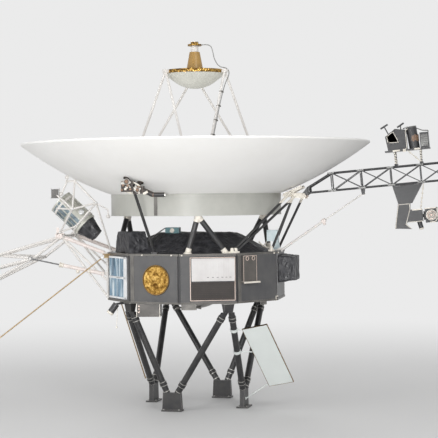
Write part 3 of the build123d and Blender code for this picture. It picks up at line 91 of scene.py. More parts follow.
def add_node(tree, kind, values=None, **settings):
    """A shader node with its settings, and with values on its own sockets."""
    node = tree.nodes.new("ShaderNode" + kind)
    for label, setting in settings.items():
        setattr(node, label, setting)
    for label, value in (values or {}).items():
        node.inputs[label].default_value = value
    return node


def wire(tree, *runs):
    """Joins sockets: a run names a node and its output, then the next node and its input."""
    for source, out, target, into in runs:
        tree.links.new(source.outputs[out], target.inputs[into])


def new_finish(name, values):
    """A material, with what is the same all over it set on its shader's own sockets."""
    finish = bpy.data.materials.new(name)
    finish.use_nodes = True
    shader = finish.node_tree.nodes["Principled BSDF"]
    for label, value in values.items():
        shader.inputs[label].default_value = value
    return finish, finish.node_tree, shader


def seen_directly(tree):
    """A mask that is 1 for rays from the camera, or through gloss or glass, and 0 for light."""
    path = add_node(tree, "LightPath")
    either = add_node(tree, "Math", operation="MAXIMUM")
    any_of = add_node(tree, "Math", operation="MAXIMUM")
    wire(
        tree,
        (path, "Is Camera Ray", either, 0),
        (path, "Is Glossy Ray", either, 1),
        (either, 0, any_of, 0),
        (path, "Is Transmission Ray", any_of, 1),
    )
    return any_of


studio = bpy.data.meshes.new("studio_floor")
corners = [(x * FLOOR_REACH, y * FLOOR_REACH, 0) for x, y in ((-1, -1), (1, -1), (1, 1), (-1, 1))]
studio.from_pydata(corners, [], [(0, 1, 2, 3)])
floor = add_object("studio_floor", studio)
floor_paint, tree, matt = new_finish(
    "studio_floor_paint", {"Base Color": (0.66, 0.66, 0.655, 1), "Roughness": 0.85}
)
spot = add_node(tree, "TexCoord")
away = add_node(tree, "VectorMath", operation="LENGTH")
fade = add_node(
    tree, "MapRange", {"From Min": FLOOR_FADE[0], "From Max": FLOOR_FADE[1]}, interpolation_type="SMOOTHSTEP"
)
both = add_node(tree, "Math", operation="MULTIPLY")
glow = add_node(tree, "Emission", {"Color": PALE})
blend = add_node(tree, "MixShader")
wire(
    tree,
    (spot, "Object", away, 0),
    (away, "Value", fade, "Value"),
    (fade, "Result", both, 0),
    (seen_directly(tree), 0, both, 1),
    (both, 0, blend, 0),
    (matt, 0, blend, 1),
    (glow, 0, blend, 2),
    (blend, 0, tree.nodes["Material Output"], "Surface"),
)
studio.materials.append(floor_paint)
floor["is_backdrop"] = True

sky = bpy.data.worlds.new("studio_air")
bpy.context.scene.world = sky
sky.use_nodes = True
air = sky.node_tree
light = air.nodes["Background"]
light.inputs["Color"].default_value = (0.95, 0.95, 0.96, 1)
light.inputs["Strength"].default_value = 0.62
backdrop = add_node(air, "Background", {"Color": PALE, "Strength": 1.0})
which = add_node(air, "MixShader")
wire(
    air,
    (seen_directly(air), 0, which, 0),
    (light, 0, which, 1),
    (backdrop, 0, which, 2),
    (which, 0, air.nodes["World Output"], "Surface"),
)

LAMPS = (
    # name, place, aimed at, size, watts, spread in degrees
    ("key_lamp", (6.5, -10.0, 7.5), (0, 0, 1.8), 4.0, 400, 180),
    ("fill_lamp", (-8.0, -9.0, 4.0), (0, 0, 1.8), 5.0, 320, 180),
    ("low_lamp", (0.5, -9.5, 1.3), (0, 0, 2.6), 1.6, 64, 80),
    ("back_lamp", (-3.0, 9.0, 7.0), (0, 0, 2.0), 4.0, 240, 180),
)
for name, place, aim, size, watts, spread in LAMPS:
    lamp = add_object(name, bpy.data.lights.new(name, "AREA"))
    lamp.data.size = size
    lamp.data.energy = watts
    lamp.data.spread = math.radians(spread)
    lamp.location = place
    lamp.rotation_euler = (Vector(aim) - Vector(place)).to_track_quat("-Z", "Y").to_euler()
bpy.context.scene.view_settings.view_transform = "Standard"

# Bus ring and its bay panels.
# Ten aluminium equipment bays in a ring, painted charcoal, with satin panels screwed over their outer
# faces. The paint is uneven and rubbed at the edges.
BAYS = 10
WINDOW_BAY, DISC_BAY, LOUVRE_BAY, BOX_BAY = 216, 252, 288, 324  # azimuths in degrees
BUS_MIDDLE = 1.371
PANEL_FACE = 0.8948  # from the dish axis to a panel's face
LIFT = 0.0003  # gap between a panel and what is fitted on it
COLOUR, NUMBER = "NodeSocketColor", "NodeSocketFloat"


def shader_group(name, inputs, outputs):
    """An empty shader node group with named sockets."""
    group = bpy.data.node_groups.new(name, "ShaderNodeTree")
    for label, kind, value in inputs:
        group.interface.new_socket(label, in_out="INPUT", socket_type=kind).default_value = value
    for label, kind in outputs:
        group.interface.new_socket(label, in_out="OUTPUT", socket_type=kind)
    return group, group.nodes.new("NodeGroupInput"), group.nodes.new("NodeGroupOutput")


worn_paint, given, made = shader_group(
    "worn_paint",
    (
        ("Paint", COLOUR, (0.5, 0.5, 0.5, 1)),
        ("Stained", COLOUR, (0.4, 0.4, 0.4, 1)),
        ("Bare", COLOUR, (0.6, 0.6, 0.6, 1)),
        ("Patch Scale", NUMBER, 6.0),
        ("Edge Wear", NUMBER, 0.5),
        ("Smooth", NUMBER, 0.3),
        ("Rough", NUMBER, 0.5),
    ),
    (("Colour", COLOUR), ("Roughness", NUMBER), ("Height", NUMBER)),
)
place = add_node(worn_paint, "TexCoord")
patches = add_node(worn_paint, "TexNoise", {"Detail": 5, "Roughness": 0.62})
specks = add_node(worn_paint, "TexNoise", {"Scale": 240, "Detail": 3})
spread = add_node(worn_paint, "MapRange", {"From Min": 0.36, "From Max": 0.68})
stain = add_node(worn_paint, "Mix", data_type="RGBA")
rounded = add_node(worn_paint, "Bevel", {"Radius": 0.006}, samples=4)
flat = add_node(worn_paint, "NewGeometry")
facing = add_node(worn_paint, "VectorMath", operation="DOT_PRODUCT")
edge = add_node(worn_paint, "MapRange", {"From Min": 0.995, "From Max": 0.80})
rub = add_node(worn_paint, "Math", operation="MULTIPLY")
rub_more = add_node(worn_paint, "Math", operation="MULTIPLY", use_clamp=True)
bare = add_node(worn_paint, "Mix", data_type="RGBA")
gloss = add_node(worn_paint, "MapRange")
wire(
    worn_paint,
    (place, "Object", patches, "Vector"),
    (place, "Object", specks, "Vector"),
    (given, "Patch Scale", patches, "Scale"),
    (patches, "Fac", spread, "Value"),
    (spread, "Result", stain, "Factor"),
    (given, "Paint", stain, "A"),
    (given, "Stained", stain, "B"),
    (rounded, "Normal", facing, 0),
    (flat, "Normal", facing, 1),
    (facing, "Value", edge, "Value"),
    (edge, "Result", rub, 0),
    (given, "Edge Wear", rub, 1),
    (rub, 0, rub_more, 0),
    (specks, "Fac", rub_more, 1),
    (rub_more, 0, bare, "Factor"),
    (stain, "Result", bare, "A"),
    (given, "Bare", bare, "B"),
    (patches, "Fac", gloss, "Value"),
    (given, "Smooth", gloss, "To Min"),
    (given, "Rough", gloss, "To Max"),
    (bare, "Result", made, "Colour"),
    (gloss, "Result", made, "Roughness"),
    (specks, "Fac", made, "Height"),
)


def painted(
    name, paint, stained, bare_colour, patch, rubbed, rough, metal=0.0, grain=0.1, coat=0.0
):
    """A painted or metal finish: patchy colour, rubbed edges, uneven gloss and a fine grain."""
    finish, tree, shader = new_finish(name, {"Metallic": metal, "Coat Weight": coat})
    colours = {"Paint": (*paint, 1), "Stained": (*stained, 1), "Bare": (*bare_colour, 1)}
    amounts = {"Patch Scale": patch, "Edge Wear": rubbed, "Smooth": rough[0], "Rough": rough[1]}
    worn = add_node(tree, "Group", colours | amounts, node_tree=worn_paint)
    bump = add_node(tree, "Bump", {"Strength": grain, "Distance": 0.001})
    wire(
        tree,
        (worn, "Colour", shader, "Base Color"),
        (worn, "Roughness", shader, "Roughness"),
        (worn, "Height", bump, "Height"),
        (bump, "Normal", shader, "Normal"),
    )
    return finish


def wear(finish, *nodes):
    """Gives CAD nodes a finish in place of their plain colour."""
    for node in nodes:
        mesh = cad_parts[node].data
        if not mesh.materials:
            mesh.materials.append(finish)
        for number in range(len(mesh.materials)):
            mesh.materials[number] = finish


charcoal = painted(
    "charcoal_paint", (0.03, 0.03, 0.032), (0.05, 0.049, 0.05), (0.30, 0.29, 0.28),
    patch=5, rubbed=0.5, rough=(0.34, 0.6),
)
satin_panel = painted(
    "satin_panel", (0.062, 0.062, 0.066), (0.10, 0.098, 0.096), (0.32, 0.31, 0.30),
    patch=3, rubbed=0.5, rough=(0.3, 0.5),
)
wear(charcoal, "bus_ring")
wear(satin_panel, "bay_panels")


def axes_of(origin, across, outward):
    """Local axes at a point: x runs across, z outwards, y square to both."""
    outward = Vector(outward).normalized()
    across = (Vector(across) - outward * outward.dot(Vector(across))).normalized()
    axes = Matrix((across, outward.cross(across), outward)).transposed().to_4x4()
    axes.translation = Vector(origin)
    return axes


def shifted(axes, x, y, z):
    """Local axes moved along themselves."""
    return axes @ Matrix.Translation((x, y, z))


def spun(axes, step, steps):
    """Local axes turned round their own z by some steps of a full turn."""
    return axes @ Matrix.Rotation(math.tau * step / steps, 4, "Z")


def tilted(axes, degrees):
    """Local axes tilted about their own y."""
    return axes @ Matrix.Rotation(math.radians(degrees), 4, "Y")


def polar(radius, azimuth, z=0.0):
    """A point at a radius and an azimuth in degrees from the dish axis."""
    angle = math.radians(azimuth)
    return Vector((radius * math.cos(angle), radius * math.sin(angle), z))


def bay_frame(azimuth, out=0.0):
    """Local axes of a bay's panel: x runs round the bus, y up, z outwards."""
    return axes_of(polar(PANEL_FACE + out, azimuth, BUS_MIDDLE), polar(1, azimuth + 90), polar(1, azimuth))


def piece(name, work, finish, body, smooth=False):
    """Turns a bmesh into a piece of the scene that rides on a body."""
    mesh = bpy.data.meshes.new(name)
    bmesh.ops.recalc_face_normals(work, faces=work.faces)
    work.to_mesh(mesh)
    work.free()
    mesh.materials.append(finish)
    thing = add_object(name, mesh)
    if smooth:
        mesh.shade_smooth()
        thing.modifiers.new("soft_edges", "EDGE_SPLIT").split_angle = math.radians(35)
    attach(thing, body)
    return thing


def block(work, axes, centre, size, round_off=0.0):
    """A box in local axes, with its edges rounded off where asked."""
    place = axes @ Matrix.Translation(centre) @ Matrix.Diagonal((*size, 1))
    box = bmesh.ops.create_cube(work, size=1, matrix=place)
    if round_off:
        edges = list(dict.fromkeys(e for v in box["verts"] for e in v.link_edges))
        bmesh.ops.bevel(work, geom=edges, offset=round_off, segments=2, profile=0.7, affect="EDGES")


def bar(work, start, end, radius, sides=12, end_radius=None):
    """A round bar between two points."""
    start, end = Vector(start), Vector(end)
    run = end - start
    place = run.to_track_quat("Z", "Y").to_matrix().to_4x4()
    place.translation = (start + end) / 2
    last = radius if end_radius is None else end_radius
    bmesh.ops.create_cone(
        work, cap_ends=True, segments=sides, radius1=radius, radius2=last, depth=run.length, matrix=place
    )


def strips(work, axes, points, width, thick, closed=False):
    """Flat strips laid on a local face from point to point."""
    ends = list(points) + ([points[0]] if closed else [])
    for start, end in zip(ends, ends[1:]):
        run = Vector((end[0] - start[0], end[1] - start[1], 0))
        middle = shifted(axes, (start[0] + end[0]) / 2, (start[1] + end[1]) / 2, thick / 2)
        along = middle @ Matrix.Rotation(math.atan2(run.y, run.x), 4, "Z")
        block(work, along, (0, 0, 0), (run.length + width, width, thick))


# Rails along the top and bottom edges of the bays, and the grey-brown strips at two bay ends.
rail_metal = painted(
    "rail_metal", (0.15, 0.142, 0.13), (0.09, 0.086, 0.08), (0.5, 0.48, 0.44),
    patch=9, rubbed=1.0, rough=(0.3, 0.55), metal=0.3,
)
work = bmesh.new()
for bay in range(BAYS):
    face = bay_frame(bay * 36)
    for y in (-0.2405, 0.2405):
        block(work, face, (0, y, -0.003), (0.572, 0.019, 0.015), 0.002)
for bay, x in ((DISC_BAY, -0.25), (BOX_BAY, -0.252)):
    block(work, bay_frame(bay), (x, 0, 0.002), (0.036, 0.46, 0.004), 0.001)
piece("bay_rails", work, rail_metal, "probe")

# Screws of the bay panels: small dark dome heads round each panel.
dark_screw = painted(
    "blackened_screw", (0.07, 0.068, 0.066), (0.04, 0.04, 0.04), (0.4, 0.38, 0.35),
    patch=30, rubbed=0.6, rough=(0.3, 0.5), metal=0.8,
)
SCREW_SPOTS = [(x, y) for x in (-0.262, 0.262) for y in (-0.2, -0.12, -0.04, 0.04, 0.12, 0.2)]
SCREW_SPOTS += [(x, y) for x in (-0.17, -0.085, 0, 0.085, 0.17) for y in (-0.222, 0.222)]
work = bmesh.new()
for bay in range(BAYS):
    face = bay_frame(bay * 36)
    for x, y in SCREW_SPOTS:
        bar(work, face @ Vector((x, y, 0)), face @ Vector((x, y, 0.0025)), 0.0042, 8, 0.0025)
piece("panel_screws", work, dark_screw, "probe")

# Louvred windows of the first bay to the left.
# A white frame round two windows, each over a row of silvered strips. Painted sky reflections run down the
# strips' colour in dark-blue to pale streaks. The strips reach the bay's left edge, and the frame is widest
# at the right.
window = bay_frame(WINDOW_BAY, LIFT)
work = bmesh.new()
for centre, size in (
    ((0.018, 0.206, 0.011), (0.44, 0.018, 0.022)),
    ((0.018, -0.206, 0.011), (0.44, 0.018, 0.022)),
    ((0.018, 0, 0.011), (0.44, 0.022, 0.022)),
    ((0.218, 0, 0.011), (0.04, 0.43, 0.022)),
    ((-0.2, 0, 0.008), (0.004, 0.43, 0.016)),
):
    block(work, window, centre, size, 0.0015)
white_frame = painted(
    "white_frame", (0.84, 0.85, 0.86), (0.68, 0.69, 0.70), (0.5, 0.5, 0.5),
    patch=9, rubbed=0.3, rough=(0.4, 0.6),
)
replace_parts(piece("window_frame", work, white_frame, "probe"), "window_louvres")

STRIP_COUNT, STRIP_SPAN = 9, 0.396
STRIP_TILTS = (11, -7, 4)
work = bmesh.new()
block(work, window, (0.018, 0, 0.003), (0.438, 0.428, 0.006))
for upper in (-1, 1):
    for column in range(STRIP_COUNT):
        x = -0.198 + (column + 0.5) * STRIP_SPAN / STRIP_COUNT
        strip = tilted(shifted(window, x, upper * 0.104, 0.012), STRIP_TILTS[column % 3])
        block(work, strip, (0, 0, 0), (0.041, 0.184, 0.0025))


def colour_ramp(tree, *stops):
    """A colour ramp with a colour at each place, from the first stop to the last."""
    ramp = add_node(tree, "ValToRGB")
    marks = ramp.color_ramp.elements
    for number, (place, colour) in enumerate((stops[0], stops[-1])):
        marks[number].position = place
        marks[number].color = (*colour, 1)
    for place, colour in stops[1:-1]:
        marks.new(place).color = (*colour, 1)
    return ramp


sky_strip, tree, shader = new_finish("silvered_strip", {"Metallic": 0.35})
spot = add_node(tree, "TexCoord")
stretch = add_node(tree, "Mapping", {"Scale": (26, 26, 2.6)})
streaks = add_node(tree, "TexNoise", {"Scale": 1.0, "Detail": 4})
# Painted sky reflection: vertical streaks from dark blue to pale grey-blue, set in the strips' colour.
painted_sky_reflection = colour_ramp(tree, (0.30, (0.03, 0.07, 0.12)), (0.5, (0.24, 0.38, 0.50)), (0.64, (0.74, 0.82, 0.85)))
shine = add_node(tree, "MapRange", {"To Min": 0.12, "To Max": 0.4})
wire(
    tree,
    (spot, "Object", stretch, "Vector"),
    (stretch, "Vector", streaks, "Vector"),
    (streaks, "Fac", painted_sky_reflection, "Fac"),
    (painted_sky_reflection, "Color", shader, "Base Color"),
    (streaks, "Fac", shine, "Value"),
    (shine, "Result", shader, "Roughness"),
)
piece("window_strips", work, sky_strip, "probe")
work = bmesh.new()
block(work, window, (0.075, 0.001, 0.0225), (0.13, 0.005, 0.002))
piece("window_latch", work, dark_screw, "probe")

# Gilded disc of the next bay.
# A gold-plated cover turned on a lathe, held to the panel by a dark bronze rim. Its face carries
# turning rings and is mottled where the gilding has aged.
gilt, tree, shader = new_finish("aged_gilding", {"Metallic": 1.0})
spot = add_node(tree, "TexCoord")
clouds = add_node(tree, "TexNoise", {"Scale": 26, "Detail": 7, "Roughness": 0.62})
tone = colour_ramp(tree, (0.38, (0.10, 0.045, 0.01)), (0.52, (0.36, 0.21, 0.05)), (0.68, (0.74, 0.50, 0.17)))
shine = add_node(tree, "MapRange", {"To Min": 0.5, "To Max": 0.24})
bump = add_node(tree, "Bump", {"Strength": 0.5, "Distance": 0.003})
wire(
    tree,
    (spot, "Object", clouds, "Vector"),
    (clouds, "Fac", tone, "Fac"),
    (tone, "Color", shader, "Base Color"),
    (clouds, "Fac", shine, "Value"),
    (shine, "Result", shader, "Roughness"),
    (clouds, "Fac", bump, "Height"),
    (bump, "Normal", shader, "Normal"),
)


def lathe(work, axes, profile, steps=64, jitter=0.0, seed=0):
    """A turned solid: the profile's radius and height, spun round the local z axis."""
    dice = random.Random(seed)
    rings = []
    for radius, height in profile:
        if radius == 0:
            rings.append([work.verts.new(axes @ Vector((0, 0, height)))])
            continue
        ring = []
        for step in range(steps):
            a, r = 2 * math.pi * step / steps, radius + jitter * dice.uniform(-1, 1)
            ring.append(work.verts.new(axes @ Vector((r * math.cos(a), r * math.sin(a), height))))
        rings.append(ring)
    for low, high in zip(rings, rings[1:]):
        for step in range(steps):
            after = (step + 1) % steps
            turns = ((low, step), (low, after), (high, after), (high, step))
            corners = list(dict.fromkeys(row[turn % len(row)] for row, turn in turns))
            if len(corners) > 2:
                work.faces.new(corners)


def collar(work, axes, inner, outer, low, high, steps):
    """A turned ring with square edges, or a disc where the inner radius is 0."""
    lathe(work, axes, [(inner, low), (outer, low), (outer, high), (inner, high)], steps)


def hoop(work, axes, radius, thick, steps):
    """A ring of round wire round the local z axis."""
    turns = [math.pi * k / 4 for k in range(9)]
    lathe(work, axes, [(radius + thick * math.cos(a), thick * math.sin(a)) for a in turns], steps)


disc = shifted(bay_frame(DISC_BAY), 0.028, -0.01, LIFT)
work = bmesh.new()
profile = [(0, 0.0005), (0.1382, 0.0005), (0.1382, 0.0082), (0.1365, 0.0092)]
profile += [(0.134 - 0.0056 * k, 0.0082 + 0.0011 * (k % 2)) for k in range(20)]
profile += [(0.022, 0.0085), (0.018, 0.0108), (0.006, 0.0112), (0, 0.009)]
lathe(work, disc, profile, 96)
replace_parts(piece("gilded_disc_turned", work, gilt, "probe", smooth=True), "gilded_disc")
bronze = painted(
    "dark_bronze", (0.20, 0.11, 0.035), (0.10, 0.055, 0.02), (0.7, 0.5, 0.2),
    patch=30, rubbed=0.8, rough=(0.25, 0.45), metal=1.0,
)
work = bmesh.new()
profile = [(0.1384, 0), (0.152, 0), (0.152, 0.0105), (0.15, 0.012)]
profile += [(0.1462, 0.012), (0.1455, 0.0096), (0.1405, 0.0096), (0.1384, 0.0086)]
lathe(work, disc, profile, 96)
piece("gilded_disc_rim", work, bronze, "probe", smooth=True)

# Louvre set of the front bay.
# White enamelled blades on pivots in a white tray, inside a thin copper-coloured frame. Below them
# is the bay's dark smoked cover with its black sill.
TRAY_WIDTH, TRAY_HEIGHT = 0.43, 0.225
BLADE_COUNT, BLADE_SPAN, BLADE_TILT = 16, 0.414, 13
enamel = painted(
    "white_enamel", (0.74, 0.725, 0.715), (0.66, 0.64, 0.63), (0.45, 0.44, 0.42),
    patch=7, rubbed=0.2, rough=(0.35, 0.55),
)
tray = shifted(bay_frame(LOUVRE_BAY, LIFT), 0.05, 0.092, 0)
work = bmesh.new()
block(work, tray, (0, 0, 0.003), (TRAY_WIDTH, TRAY_HEIGHT, 0.006))
for x in (-0.211, 0.211):
    block(work, tray, (x, 0, 0.012), (0.008, TRAY_HEIGHT, 0.024), 0.001)
for y in (-0.1085, 0.1085):
    block(work, tray, (0, y, 0.012), (TRAY_WIDTH, 0.008, 0.024), 0.001)
for blade in range(BLADE_COUNT):
    x = -0.207 + (blade + 0.5) * BLADE_SPAN / BLADE_COUNT
    leaf = tilted(shifted(tray, x, 0, 0.0165), BLADE_TILT)
    block(work, leaf, (0, 0, 0), (0.0246, 0.204, 0.0018))
    bar(work, leaf @ Vector((0, -0.106, 0)), leaf @ Vector((0, 0.106, 0)), 0.0022, 8)
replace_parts(piece("louvre_blades", work, enamel, "probe"), "louvre_set")
work = bmesh.new()
for x in (-0.053, -0.003, 0.045, 0.092, 0.132, 0.172):
    block(work, tray, (x, -0.075, 0.0185), (0.02, 0.0045, 0.0035))
piece("louvre_stops", work, dark_screw, "probe")
copper = painted(
    "copper_edging", (0.74, 0.61, 0.54), (0.60, 0.47, 0.40), (0.85, 0.75, 0.68),
    patch=20, rubbed=0.5, rough=(0.3, 0.5), metal=0.4,
)
work = bmesh.new()
front = bay_frame(LOUVRE_BAY)
frame_edge = [(-0.178, 0.213), (-0.178, -0.214), (0.27, -0.214), (0.27, 0.213)]
strips(work, front, frame_edge, 0.006, 0.009, closed=True)
piece("louvre_bay_frame", work, copper, "probe")
smoked = painted(
    "smoked_cover", (0.022, 0.018, 0.016), (0.04, 0.033, 0.03), (0.3, 0.2, 0.15),
    patch=3, rubbed=0.3, rough=(0.08, 0.22), coat=0.4,
)
work = bmesh.new()
block(work, front, (0.046, -0.12, 0.0015), (0.44, 0.18, 0.003), 0.001)
for row in range(9):
    block(work, front, (0.046, -0.19 + row * 0.0185, 0.0034), (0.436, 0.0016, 0.0012))
block(work, front, (0.046, -0.204, 0.006), (0.44, 0.011, 0.012), 0.001)
piece("smoked_bay_cover", work, smoked, "probe")

# Boxes on and under the bays.
# Thin grey-brown electronics boxes with copper edging, clip rings and a cream sill; the one below
# hangs in a light frame beside its row of copper connectors.
grey_box = painted(
    "grey_brown_paint", (0.105, 0.095, 0.085), (0.07, 0.065, 0.06), (0.4, 0.36, 0.32),
    patch=8, rubbed=0.6, rough=(0.3, 0.55),
)
wear(grey_box, "bay_box", "under_box")
side_box = bay_frame(BOX_BAY, 0.0243)
work = bmesh.new()
box_edge = [(-0.2185, -0.03), (-0.2185, 0.2225), (-0.0335, 0.2225), (-0.0335, -0.03)]
strips(work, side_box, box_edge, 0.005, 0.0012)
for x in (-0.168, -0.082):
    hoop(work, shifted(side_box, x, 0.197, 0.003), 0.019, 0.0035, 32)
under = axes_of(polar(0.812, 244.2, 1.0537), polar(1, 5), (0, 0, 1))
under_face = axes_of(under @ Vector((0, -0.075, 0)), polar(1, 5), polar(1, 275))
profile = [(0.009, 0), (0.009, 0.006), (0.005, 0.009), (0, 0.009)]
for y in (0.042, 0.012, -0.018):
    lathe(work, shifted(under_face, -0.093, y, 0), profile, 16)
piece("box_edging", work, copper, "probe")
cream = painted(
    "cream_fitting", (0.80, 0.76, 0.68), (0.66, 0.61, 0.53), (0.5, 0.46, 0.4),
    patch=25, rubbed=0.6, rough=(0.35, 0.55),
)
work = bmesh.new()
sill = bay_frame(BOX_BAY)
block(work, sill, (-0.118, -0.044, 0.045), (0.232, 0.016, 0.002))
block(work, sill, (-0.118, -0.0362, 0.0225), (0.232, 0.0016, 0.045))
for x in (-0.117, 0.117):
    strips(work, under_face, [(x, 0.064), (x, -0.064)], 0.007, 0.003)
corner = axes_of(polar(0.931, 342, 1.164), polar(1, 72), polar(1, 342))
block(work, corner, (0, 0, 0.004), (0.05, 0.012, 0.008), 0.001)
block(work, corner, (-0.02, -0.02, 0.004), (0.012, 0.05, 0.008), 0.001)
for azimuth, x in ((DISC_BAY, 0.21), (DISC_BAY, -0.13), (LOUVRE_BAY, -0.262), (BOX_BAY, 0.24), (0, -0.24)):
    face = bay_frame(azimuth)
    bar(work, face @ Vector((x, 0.238, 0.004)), face @ Vector((x, 0.238, 0.012)), 0.008, 10)
piece("box_fittings", work, cream, "probe")

# Small thruster pod and trailing probe at the bus's lower left.
# The pod is a dark barrel with a light cap, on a bracket from the bus floor; a thin rod with a ball
# end hangs from it.
POD_TOP, POD_LOW = Vector((-0.700, -0.700, 1.110)), Vector((-0.764, -0.722, 1.019))
work = bmesh.new()
bar(work, POD_TOP, POD_LOW, 0.034, 20)
bar(work, (-0.60, -0.60, 1.117), POD_TOP, 0.011)
bar(work, (-0.66, -0.53, 1.117), POD_TOP, 0.009)
pod_black = painted(
    "pod_black", (0.03, 0.03, 0.033), (0.05, 0.05, 0.052), (0.4, 0.4, 0.4),
    patch=14, rubbed=0.8, rough=(0.25, 0.5),
)
piece("thruster_pod", work, pod_black, "probe", smooth=True)


def ball(work, spot, radius, around=10, rows=7):
    """A small ball at a point."""
    place = Matrix.Translation(spot)
    bmesh.ops.create_uvsphere(work, u_segments=around, v_segments=rows, radius=radius, matrix=place)


work = bmesh.new()
profile = [(0, -0.012), (0.036, -0.012), (0.036, 0.004), (0.026, 0.012), (0.018, 0.004), (0, 0.004)]
lathe(work, axes_of(POD_LOW, (0, 1, 0), POD_LOW - POD_TOP), profile, 24)
bar(work, (-0.690, -0.700, 1.09), (-0.698, -0.715, 0.882), 0.0028, 8)
ball(work, (-0.698, -0.715, 0.873), 0.011, 16, 10)
piece("thruster_pod_trim", work, cream, "probe", smooth=True)

# Insulation blankets.
# Black blankets of many plastic film layers, taped and stitched over the tank, the side box and the
# mast's base; they stand off in creased folds.
FOLD_SEED = 5
crinkle, given, made = shader_group(
    "blanket_crinkle",
    (("Scale", NUMBER, 14.0), ("Fine", NUMBER, 0.3)),
    (("Height", NUMBER), ("Painted Crease Shading", NUMBER)),
)
place = add_node(crinkle, "TexCoord")
push = add_node(crinkle, "TexNoise", {"Scale": 5})
shift = add_node(crinkle, "VectorMath", {1: (0.12, 0.12, 0.12)}, operation="MULTIPLY_ADD")
folds = add_node(crinkle, "TexVoronoi", feature="F1")
small = add_node(crinkle, "TexVoronoi", feature="SMOOTH_F1")
finer = add_node(crinkle, "Math", {1: 3.3}, operation="MULTIPLY")
total = add_node(crinkle, "Math", operation="MULTIPLY_ADD")
# Painted crease shading: a mask along the fold lines where a blanket turns to its second colour, a darker
# painted shade on the gold foil and a lighter painted sheen on the black film.
crease_shading = add_node(crinkle, "MapRange", {"From Min": 0.3, "From Max": 0.75})
wire(
    crinkle,
    (place, "Object", push, "Vector"),
    (push, "Color", shift, 0),
    (place, "Object", shift, 2),
    (shift, "Vector", folds, "Vector"),
    (shift, "Vector", small, "Vector"),
    (given, "Scale", folds, "Scale"),
    (given, "Scale", finer, 0),
    (finer, 0, small, "Scale"),
    (small, "Distance", total, 0),
    (given, "Fine", total, 1),
    (folds, "Distance", total, 2),
    (folds, "Distance", crease_shading, "Value"),
    (total, 0, made, "Height"),
    (crease_shading, "Result", made, "Painted Crease Shading"),
)


def blanket(name, film, crease_shading_colour, scale, rough, depth, metal=0.0):
    """Insulation blanket: thin plastic film in many layers, creased, with painted shading along the creases.
    """
    finish, tree, shader = new_finish(name, {"Metallic": metal})
    folded = add_node(tree, "Group", {"Scale": scale}, node_tree=crinkle)
    mixed = add_node(tree, "Mix", {"A": (*film, 1), "B": (*crease_shading_colour, 1)}, data_type="RGBA")
    gloss = add_node(tree, "MapRange", {"To Min": rough, "To Max": rough + 0.25})
    bump = add_node(tree, "Bump", {"Strength": 0.8, "Distance": depth})
    wire(
        tree,
        (folded, "Painted Crease Shading", mixed, "Factor"),
        (mixed, "Result", shader, "Base Color"),
        (folded, "Painted Crease Shading", gloss, "Value"),
        (gloss, "Result", shader, "Roughness"),
        (folded, "Height", bump, "Height"),
        (bump, "Normal", shader, "Normal"),
    )
    return finish


# Painted sheen: the black film's second colour makes it lighter along the creases.
black_film = blanket("black_film", (0.020, 0.020, 0.024), (0.05, 0.05, 0.055), 16, 0.36, 0.012)


def crumpled(name, node, voxel, depth, scale):
    """A blanket over a CAD node's shape: cut into small cells, then pushed into folds and dents."""
    shape = add_object(name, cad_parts[node].data.copy())
    if voxel:
        remesh = shape.modifiers.new("fine_mesh", "REMESH")
        remesh.mode = "VOXEL"
        remesh.voxel_size = voxel
        fine = bpy.data.meshes.new_from_object(shape.evaluated_get(bpy.context.evaluated_depsgraph_get()))
        shape.modifiers.clear()
        shape.data = fine
    else:
        fine = shape.data
        work = bmesh.new()
        work.from_mesh(fine)
        bmesh.ops.remove_doubles(work, verts=work.verts[:], dist=0.0001)
        wide = [edge for edge in work.edges if edge.calc_length() > 0.05]
        bmesh.ops.subdivide_edges(work, edges=wide, cuts=9, use_grid_fill=True)
        work.to_mesh(fine)
        work.free()
    stretch = Vector(scale)
    for vertex in fine.vertices:
        spot = vertex.co * stretch
        ridge = noise.noise_vector(spot) * (1 - 1.4 * abs(noise.noise(spot * 0.7)))
        vertex.co += (ridge + 0.35 * noise.noise_vector(spot * 2.9)) * depth
    fine.shade_smooth()
    fine.set_sharp_from_angle(angle=math.radians(50))
    fine.materials.clear()
    fine.materials.append(black_film)
    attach(shape, "probe")
    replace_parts(shape, node)


noise.seed_set(FOLD_SEED)
crumpled("bus_tent_blanket", "top_blanket", 0, 0.014, (7, 7, 7))
crumpled("side_box_blanket", "blanket_box", 0.007, 0.014, (13, 13, 4.5))
crumpled("mast_cone_blanket", "mast_blanket", 0.005, 0.008, (14, 14, 14))
work = bmesh.new()
bar(work, (-0.572, -0.612, 1.638), (-0.278, -0.284, 1.868), 0.006, 8)
batten = painted(
    "blanket_batten", (0.30, 0.29, 0.28), (0.2, 0.195, 0.19), (0.6, 0.6, 0.58),
    patch=20, rubbed=0.5, rough=(0.3, 0.5), metal=0.6,
)
piece("blanket_batten", work, batten, "probe")

# Thrusters, tank and the small units on top of the bus.
# A titanium tank with a weld band, machined thrusters, a teal box on the blanket and a pale cube with
# white wire brackets.
brushed = painted(
    "machined_metal", (0.27, 0.27, 0.27), (0.19, 0.19, 0.20), (0.6, 0.6, 0.59),
    patch=22, rubbed=0.6, rough=(0.22, 0.42), metal=1.0,
)
wear(rail_metal, "thrusters")
titanium = painted(
    "satin_titanium", (0.42, 0.40, 0.38), (0.34, 0.33, 0.32), (0.6, 0.58, 0.55),
    patch=5, rubbed=0.2, rough=(0.25, 0.45), metal=1.0,
)
wear(titanium, "propellant_tank")


def upright(place, across=(1, 0, 0)):
    """Local axes at a point, with z straight up."""
    return axes_of(place, across, (0, 0, 1))


def facing_front(place):
    """Local axes at a point, with x to the right and z towards the front."""
    return axes_of(place, (1, 0, 0), (0, -1, 0))


work = bmesh.new()
profile = [(0.3535, -0.02), (0.358, -0.02), (0.359, 0), (0.358, 0.02), (0.3535, 0.02)]
lathe(work, upright((0, 0, BUS_MIDDLE)), profile, 72)
piece("tank_weld_band", work, brushed, "probe", smooth=True)


